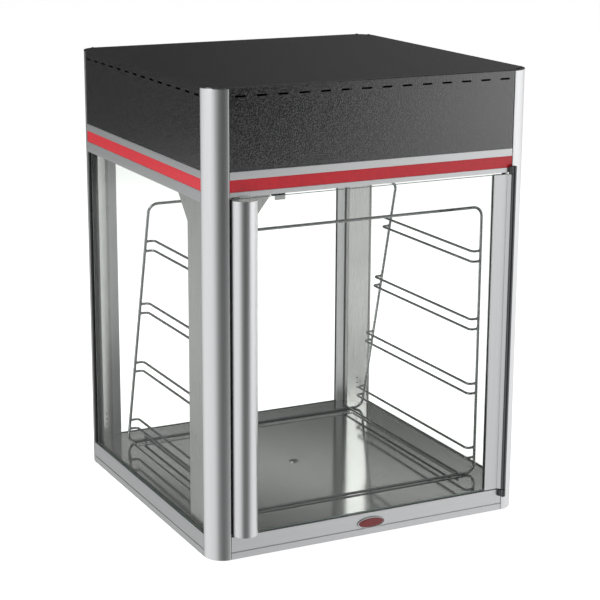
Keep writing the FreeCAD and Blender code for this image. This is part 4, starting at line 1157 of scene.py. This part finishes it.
def make_controls():
    """Rear controls: a printed plate, two rocker switches, a thermostat knob and the cord gland."""
    plate = Span("control_plate")
    black = black_label_plate()
    made = show("rear_control_plate", Shape().prism(rounded_box(plate.x0, plate.x1, plate.z0, plate.z1, 3.0,
        6), plate.y0, plate.y1, "y").mesh("plate"))
    z = plate.centre.z
    knob = Span("thermostat_knob")
    for node, *hole in CUTOUTS:
        punch_row(made, black, (Span(node).centre.x, plate.centre.y, z), (1, 0, 0), 1, *hole, 3.0, FACING_Y)
    install(made, black, "black_label_plate", nodes=["control_plate"], edge=0.2)

    corners = [((x, plate.y1 - 0.1, h), (0, 1, 0)) for x in (plate.x0 + 5, plate.x1 - 5)
        for h in (plate.z0 + 5, plate.z1 - 5)]
    set_screws("control_plate_screws", corners, black_oxide_steel(), "polished_steel", 2.0, 1.1)

    ink = white_ink()
    ticks = show("dial_ticks", Shape().line([(0, 0, 0), (1, 0, 0)]).mesh("ticks"))
    run_tree(ticks, dial_tree(), ink, centre=[knob.centre.x * MM, (plate.y1 + 0.05) * MM, z * MM],
        count=DIAL_TICKS, first=math.radians(DIAL_START), turn=math.radians(DIAL_STEP),
        radius=TICK_RADIUS * MM, tick=[side * MM for side in TICK])
    install(ticks, ink, "black_label_plate", edge=0)
    make_dial_numbers(knob.centre.x, plate.y1, z, ink)

    bezels = Shape()
    rim, out, back = plate.y1, ((8.5, 14.5, 1.5), (5.3, 10.3, 0.8), (6.8, 12.3, 0.8)), -7
    for node in ROCKERS.values():
        x = Span(node).centre.x

        def bezel_ring(part, grow, depth):
            w, h, radius = out[part]
            w, h = w + grow, h + grow
            return plate_ring(x - w, x + w, z - h, z + h, radius, rim + depth, 5, "y")

        bezels.loft([bezel_ring(*step) for step in ((0, 0, 0), (0, 0, 1.3), (0, -0.35, 1.8), (0, -0.9, 2),
            (1, 0.5, 2), (1, 0, 1.4), (1, 0, back), (2, 0, back), (2, 0, -0.1))], closed=True)
        bezels.loft([bezel_ring(2, 0, -24), bezel_ring(2, 0, back)])
    fit("switch_bezels", bezels, moulded_abs("grained"), "black_plastic", nodes=["switch_bodies"], edge=0)

    for joint, node in ROCKERS.items():
        face = [(3.0 - 1.6 * (1 - (u / 8.8) ** 2), u) for u in [8.8 * (k / 5 - 1) for k in range(11)]]
        back = [(-2.6, 7.4), (-4.0, 0), (-2.6, -7.4)]
        paddle = Shape().prism([(out, up) for out, up in face + back], -4.9, 4.9, "x")
        paddle.mark = 1
        rise = 3.0 - 1.6 * (1 - (5.2 / 8.8) ** 2) - 0.12
        paddle.block(-0.35, 0.35, rise, rise + 0.25, 3.9, 6.5)
        hole = [(1.3 * math.cos(t), 1.3 * math.sin(t)) for t in [math.radians(i * 20) for i in range(18)]]
        rings = [[(u * k, y, v * k - 5.2) for u, v in hole] for k, y in ((1, rise), (1, rise + 0.25),
            (0.55, rise + 0.25), (0.55, rise))]
        paddle.loft(rings, closed=True)
        tilt = Matrix.Rotation(math.radians(-ROCKER_TILT), 4, "X")
        paddle.moved(Matrix.Translation(joint_at(joint)) @ tilt)
        fit(node + "_cap", paddle, [moulded_abs("smooth"), ink], "black_plastic", node, [node], edge=0.12)

    make_knob(knob, plate, ink)
    body = Span("thermostat_body")
    gland = Span("cord_gland")
    made = Shape()
    hexagon = arc(13.0, 30, 330, 5, (gland.centre.x, gland.centre.z))
    made.prism(rounded(hexagon, 1.2), gland.y1 - 16, gland.y1 - 12, "y")
    profile = [(4.0, gland.y0), (8.8, gland.y0), (8.8, gland.y1 - 11.5)]
    for k in range(4):
        top = gland.y1 - 10.5 + 2.2 * k
        profile += [(8.6 - 0.7 * k, top), (8.6 - 0.7 * k, top + 1.2), (7.2 - 0.6 * k, top + 1.5),
            (7.2 - 0.6 * k, top + 1.9)]
    profile += [(5.6, gland.y1 - 0.4), (5.2, gland.y1), (4.2, gland.y1), (4.0, gland.y1 - 0.4)]
    made.lathe(profile, (gland.centre.x, 0, gland.centre.z), "y", 36, closed=True)
    fit("mains_cord_gland", made, moulded_abs("grained"), "black_plastic", nodes=["cord_gland"], edge=0.15)
    made = Shape().block(body.x0, body.x1, body.y0, body.y1, body.z0, body.z1)
    for x in (body.x0 + 8, body.x1 - 12):
        made.block(x, x + 4, body.y0 - 5, body.y0 + 1, body.z1 - 14, body.z1 - 13)
    fit("thermostat_housing", made, moulded_abs("grained"), "black_plastic", nodes=["thermostat_body"],
        edge=0.8)


def make_dial_numbers(x, y, z, ink):
    """Numbers 1 to 5 round the dial, as flat printed marks."""
    whole = bmesh.new()
    for count in range(1, 6):
        angle = math.radians(DIAL_START + 2 * DIAL_STEP * count)
        words = bpy.data.curves.new("dial", "FONT")
        words.body, words.size, words.extrude = str(count), 3.4 * MM, 0.08 * MM
        words.align_x, words.align_y = "CENTER", "CENTER"
        carrier = show("dial", words)
        graph = bpy.context.evaluated_depsgraph_get()
        flat = bpy.data.meshes.new_from_object(carrier.evaluated_get(graph), depsgraph=graph)
        bpy.data.objects.remove(carrier)
        # Angles run clockwise as the dial is read from behind the cabinet, where +X is to the left.
        around = Vector((-math.sin(angle), 0, math.cos(angle))) * NUMBER_RADIUS
        spot = (Vector((x, y + 0.02, z)) + around) * MM
        turn = Matrix.Rotation(math.pi, 4, "Z") @ Matrix.Rotation(math.pi / 2, 4, "X")
        flat.transform(Matrix.Translation(spot) @ turn)
        whole.from_mesh(flat)
    made = bpy.data.meshes.new("dial_numbers")
    bmesh.ops.remove_doubles(whole, verts=whole.verts, dist=1e-6)
    bmesh.ops.recalc_face_normals(whole, faces=whole.faces)
    whole.to_mesh(made)
    whole.free()
    install(show("dial_numbers", made), ink, "black_label_plate", edge=0)


def make_knob(knob, plate, ink):
    """A skirted knob with a flat grip, whose white line points at the dial."""
    cx, cz = knob.centre.x, knob.centre.z
    made = Shape()
    skirt = plate.y1 + 4
    made.lathe([(18.2, plate.y1 + 0.5), (19, plate.y1 + 1.0), (19, plate.y1 + 2.6), (18.4, skirt - 0.3),
        (17.0, skirt), (14.0, skirt + 0.2)], (cx, 0, cz), "y", 60)
    half = math.degrees(math.asin(7.0 / 14.0))
    top = knob.y1 - 0.35
    ends = arc(14.0, -half, half, 14) + arc(14.0, 180 - half, 180 + half, 14)
    rings = []
    for share, out in ((1.0, skirt - 0.5), (0.97, top - 1.4), (0.93, top - 0.4), (0.86, top)):
        rings.append([(cx + u * share, out, cz + v * (share if share < 0.97 else 1)) for u, v in ends])
    made.loft(rings)
    made.lathe([(3.0, plate.y1 - 14), (3.0, plate.y1 + 1)], (cx, 0, cz), "y", 20)
    made.mark = 1
    made.block(cx + 3.0, cx + 11.0, top - 0.2, knob.y1 - 0.1, cz - 0.6, cz + 0.6)
    made.block(cx + 14.6, cx + 17.6, skirt - 0.4, skirt + 0.2, cz - 0.6, cz + 0.6)
    fit("thermostat_dial_knob", made, [moulded_abs("smooth"), ink], "black_plastic", "thermostat_knob",
        ["thermostat_knob"], edge=0.15, smooth=40)


def finish_kept_nodes():
    """Gives the CAD nodes whose shape is already right the finish of what they are."""
    finishes = {"base_plate": galvanised_steel(), "floor_supports": galvanised_steel(),
        "plenum_box": galvanised_steel(), "lamp_holder": galvanised_steel(),
        "ceiling_panel": brushed_stainless("x", "satin"), "glazing_gaskets": epdm_rubber(),
        "fan_motor": painted_casting(), "fan_impeller": mill_aluminium(), "air_heater": heat_tinted_sheath(),
        "lamp_bulb": frosted_bulb_glass(),}
    for node, finish in finishes.items():
        kept = frame["nodes"][node]
        kept.data.materials.clear()
        kept.data.materials.append(finish)


# ---- stage ------------------------------------------------------------------------------------------
# How bright the studio is, by degrees round from the front and growing to the right: far away near the
# horizon, nearer down, on the table round the cabinet, over it, and in a strip of lamps high up. There is
# a dark gap behind the camera between a left softbox and a right one.
STUDIO_FAR = ((-180, 0.06), (-165, 0.06), (-152, 0.14), (-140, 0.95), (-64, 1.1), (-48, 0.6), (-34, 0.2),
    (-18, 0.08), (10, 0.03), (25, 0.02), (28, 0.2), (31, 1.2), (35, 2.2), (58, 1.9), (110, 1.0), (150, 0.3),
    (180, 0.06))
STUDIO_NEAR = ((-180, 0.3), (-157, 0.6), (-138, 1.1), (-66, 1.1), (-52, 0.7), (-38, 0.25), (-22, 0.1),
    (-4, 0.08), (16, 0.16), (22, 0.6), (30, 1.0), (50, 0.85), (68, 0.95), (116, 1.3), (150, 0.7), (180, 0.35))
STUDIO_TABLE = ((-180, 0.1), (-164, 0.15), (-152, 0.6), (-130, 1.0), (-60, 0.8), (-40, 0.25), (-20, 0.15),
    (5, 0.3), (24, 0.68), (34, 0.78), (50, 0.9), (90, 1.0), (140, 0.7), (180, 0.3))
STUDIO_OVER = ((-180, 0.05), (-110, 0.2), (-40, 0.2), (0, 0.08), (30, 0.2), (60, 0.5), (110, 0.4),
    (142, 0.14), (158, 0.05), (180, 0.05))
STUDIO_STRIP = ((-180, 1.0), (180, 1.0))
STUDIO_PEAK = 2.0
# each ring takes over from the one before between two heights, where 1 is straight up
STUDIO_RISE = ((STUDIO_NEAR, -0.34, -0.27), (STUDIO_FAR, -0.2, -0.178), (STUDIO_OVER, -0.06, 0.03),
    (STUDIO_STRIP, 0.268, 0.276), (STUDIO_OVER, 0.286, 0.294))
STRIP_TILT = -0.15          # the strip of lamps stands lower on the right
SOFTBOXES = {               # place and aim in metres, side in metres, power in watts
    "left_softbox": ((-2.6, -0.4, 1.9), (0, 0, 0.4), 1.6, 42.0),
    "top_softbox": ((0.1, 0.5, 2.9), (0, 0, 0.6), 2.2, 36.0),
}
CAMERA_PLACE, CAMERA_TARGET = Vector((-1.3573, -2.7160, 1.1307)), Vector((0.0067, -0.0034, 0.3352))
CAMERA_ROLL, CAMERA_LENS = 0.286, 108.2     # degrees, and the focal length for a 36 mm sensor


def studio_ring(tree, share, levels):
    """Brightness round the studio, from the share of a full turn."""
    ring = add(tree, "ShaderNodeValToRGB", {"Fac": share})
    stops = ring.color_ramp.elements
    while len(stops) < len(levels):
        stops.new(0.5)
    for stop, (degrees, light) in zip(stops, levels):
        stop.position = (degrees + 180) / 360
        stop.color = [light / STUDIO_PEAK] * 3 + [1]
    return ring.outputs[0]


def make_stage():
    """The studio's light, its pale floor, two softboxes and the camera."""
    world = bpy.data.worlds.new("studio")
    bpy.context.scene.world = world
    world.use_nodes = True
    tree = world.node_tree
    tree.nodes.clear()
    way = add(tree, "ShaderNodeTexCoord").outputs["Generated"]
    parts = add(tree, "ShaderNodeSeparateXYZ", {0: way})
    forward = add(tree, "ShaderNodeMath", {0: parts.outputs["Y"], 1: -1.0}, operation="MULTIPLY")
    around = add(tree, "ShaderNodeMath", {0: parts.outputs["X"], 1: forward}, operation="ARCTAN2")
    share = add(tree, "ShaderNodeMapRange", {"Value": around, "From Min": -math.pi, "From Max": math.pi})
    mirrored = studio_ring(tree, share.outputs[0], STUDIO_TABLE)
    level = parts.outputs["Z"]
    tilted = add(tree, "ShaderNodeMath", {0: parts.outputs["X"], 1: STRIP_TILT, 2: level},
        operation="MULTIPLY_ADD").outputs[0]
    for levels, start, end in STUDIO_RISE:
        rise = tilted if start > 0 else level
        height = add(tree, "ShaderNodeMapRange", {"Value": rise, "From Min": start, "From Max": end},
            interpolation_type="SMOOTHSTEP")
        ring = studio_ring(tree, share.outputs[0], levels)
        mirrored = add(tree, "ShaderNodeMix", {0: height, 2: mirrored, 3: ring}, data_type="FLOAT").outputs[0]
    kind = add(tree, "ShaderNodeLightPath")
    studio = add(tree, "ShaderNodeMath", {0: mirrored, 1: STUDIO_PEAK}, operation="MULTIPLY")
    light = add(tree, "ShaderNodeMix", {0: kind.outputs["Is Camera Ray"], 2: studio, 3: 1.0},
        data_type="FLOAT")
    sky = add(tree, "ShaderNodeBackground", {"Color": [1, 1, 1, 1], "Strength": light})
    add(tree, "ShaderNodeOutputWorld", {"Surface": sky})

    ground = Shape()
    ground.points = [(-9e3, -9e3, 0), (9e3, -9e3, 0), (9e3, 9e3, 0), (-9e3, 9e3, 0)]
    ground.face((0, 1, 2, 3))
    floor = show("studio_floor", ground.mesh("studio_floor"))
    made, tree, shader = start_finish("lit_studio_floor", IOR=1.4, Emission_Color=[1, 1, 1, 1],
        Emission_Strength=0.8)
    colour = bpy.context.scene.cabinet_colours.floor
    paper = speckle(tree, (400.0, 400.0, 400.0))
    tint(tree, shader, paper, shade(colour, 0.99), colour)
    drive(tree, shader, "Roughness", paper, 0.8, 0.9)
    floor.data.materials.append(made)
    floor.visible_glossy = False

    for name, (place, aim, side, power) in SOFTBOXES.items():
        lamp = bpy.data.lights.new(name, "AREA")
        lamp.shape, lamp.energy, lamp.size, lamp.size_y = "RECTANGLE", power, side, side
        carrier = show(name, lamp)
        carrier.location = place
        carrier.rotation_euler = (Vector(aim) - Vector(place)).to_track_quat("-Z", "Y").to_euler()
        carrier.visible_camera = False

    lens = bpy.data.cameras.new("camera")
    lens.lens, lens.sensor_width = CAMERA_LENS, 36.0
    lens.clip_start, lens.clip_end = 0.05, 100.0
    camera = show("camera", lens)
    aim = (CAMERA_TARGET - CAMERA_PLACE).to_track_quat("-Z", "Y").to_matrix().to_4x4()
    roll = Matrix.Rotation(math.radians(CAMERA_ROLL), 4, "Z")
    camera.matrix_world = Matrix.Translation(CAMERA_PLACE) @ aim @ roll
    bpy.context.scene.camera = camera
    bpy.context.scene.view_settings.view_transform = "Standard"


# ---- operators --------------------------------------------------------------------------------------
class CabinetPiece:
    """What the cabinet's operators share."""

    bl_options = {"REGISTER", "UNDO"}
    jobs = ()

    def execute(self, context):
        for job in self.jobs:
            job()
        return {"FINISHED"}


class CABINET_OT_posts(CabinetPiece, bpy.types.Operator):
    """Make the four quarter-round corner posts"""
    bl_idname = "cabinet.posts"
    bl_label = "Corner Posts"
    jobs = (make_posts,)


class CABINET_OT_rails(CabinetPiece, bpy.types.Operator):
    """Make the base rails and the striped trims on the four sides"""
    bl_idname = "cabinet.rails"
    bl_label = "Rails And Trims"
    jobs = (make_rails, make_stripes)


class CABINET_OT_header(CabinetPiece, bpy.types.Operator):
    """Make the vented header panels, the cover and the screws"""
    bl_idname = "cabinet.header"
    bl_label = "Header"
    jobs = (make_header_panels, make_top_cover, make_screws)


class CABINET_OT_floor(CabinetPiece, bpy.types.Operator):
    """Make the feet, the floor pan, its surround and the drain plug"""
    bl_idname = "cabinet.floor"
    bl_label = "Base And Floor"
    jobs = (make_feet, make_floor)


class CABINET_OT_glazing(CabinetPiece, bpy.types.Operator):
    """Make the three fixed panes and the rear stiles"""
    bl_idname = "cabinet.glazing"
    bl_label = "Glazing"
    jobs = (make_glazing,)


class CABINET_OT_ducts(CabinetPiece, bpy.types.Operator):
    """Make the air ducts and the corner cover"""
    bl_idname = "cabinet.ducts"
    bl_label = "Air Ducts"
    jobs = (make_front_duct, make_corner_sheets)


class CABINET_OT_door(CabinetPiece, bpy.types.Operator):
    """Make the glass door, its handle, its stile, its hinge barrel and the seal on the post"""
    bl_idname = "cabinet.door"
    bl_label = "Door"
    jobs = (make_door, make_door_seal)


class CABINET_OT_hinges(CabinetPiece, bpy.types.Operator):
    """Make the fixed hinge cups and the magnetic catch"""
    bl_idname = "cabinet.hinges"
    bl_label = "Hinges And Catch"
    jobs = (make_hinges,)


class CABINET_OT_rack(CabinetPiece, bpy.types.Operator):
    """Make the chromed wire pan rack"""
    bl_idname = "cabinet.rack"
    bl_label = "Pan Rack"
    jobs = (make_rack,)


class CABINET_OT_badge(CabinetPiece, bpy.types.Operator):
    """Make the plain oval badge"""
    bl_idname = "cabinet.badge"
    bl_label = "Badge"
    jobs = (make_badge,)


class CABINET_OT_controls(CabinetPiece, bpy.types.Operator):
    """Make the rear controls and the cord gland"""
    bl_idname = "cabinet.controls"
    bl_label = "Controls"
    jobs = (make_controls,)


class CABINET_OT_insides(CabinetPiece, bpy.types.Operator):
    """Give the fan, heater, lamp and base parts their finishes"""
    bl_idname = "cabinet.insides"
    bl_label = "Inside Parts"
    jobs = (finish_kept_nodes,)


class CABINET_OT_stage(CabinetPiece, bpy.types.Operator):
    """Make the pale floor, the studio light and the camera"""
    bl_idname = "cabinet.stage"
    bl_label = "Stage"
    jobs = (make_stage,)


OPERATORS = (CABINET_OT_posts, CABINET_OT_rails, CABINET_OT_header, CABINET_OT_floor, CABINET_OT_glazing,
    CABINET_OT_ducts, CABINET_OT_door, CABINET_OT_hinges, CABINET_OT_rack, CABINET_OT_badge,
    CABINET_OT_controls, CABINET_OT_insides, CABINET_OT_stage)


class CABINET_PT_builder(bpy.types.Panel):
    """Lists the cabinet's sizes, colours and steps"""
    bl_label = "Food Holding Cabinet"
    bl_idname = "CABINET_PT_builder"
    bl_space_type = "VIEW_3D"
    bl_region_type = "UI"
    bl_category = "Cabinet"

    def draw(self, context):
        for group in (context.scene.cabinet_sizes, context.scene.cabinet_colours):
            column = self.layout.column()
            for name in group.__annotations__:
                column.prop(group, name)
        for operator in OPERATORS:
            self.layout.operator(operator.bl_idname)


CLASSES = (CabinetSizes, CabinetColours) + OPERATORS + (CABINET_PT_builder,)


def register():
    for cls in CLASSES:
        bpy.utils.register_class(cls)
    bpy.types.Scene.cabinet_sizes = PointerProperty(type=CabinetSizes)
    bpy.types.Scene.cabinet_colours = PointerProperty(type=CabinetColours)


def unregister():
    del bpy.types.Scene.cabinet_colours
    del bpy.types.Scene.cabinet_sizes
    for cls in reversed(CLASSES):
        bpy.utils.unregister_class(cls)


def main():
    register()
    for operator in OPERATORS:
        group, name = operator.bl_idname.split(".")
        getattr(getattr(bpy.ops, group), name)()


if __name__ == "__main__":
    main()
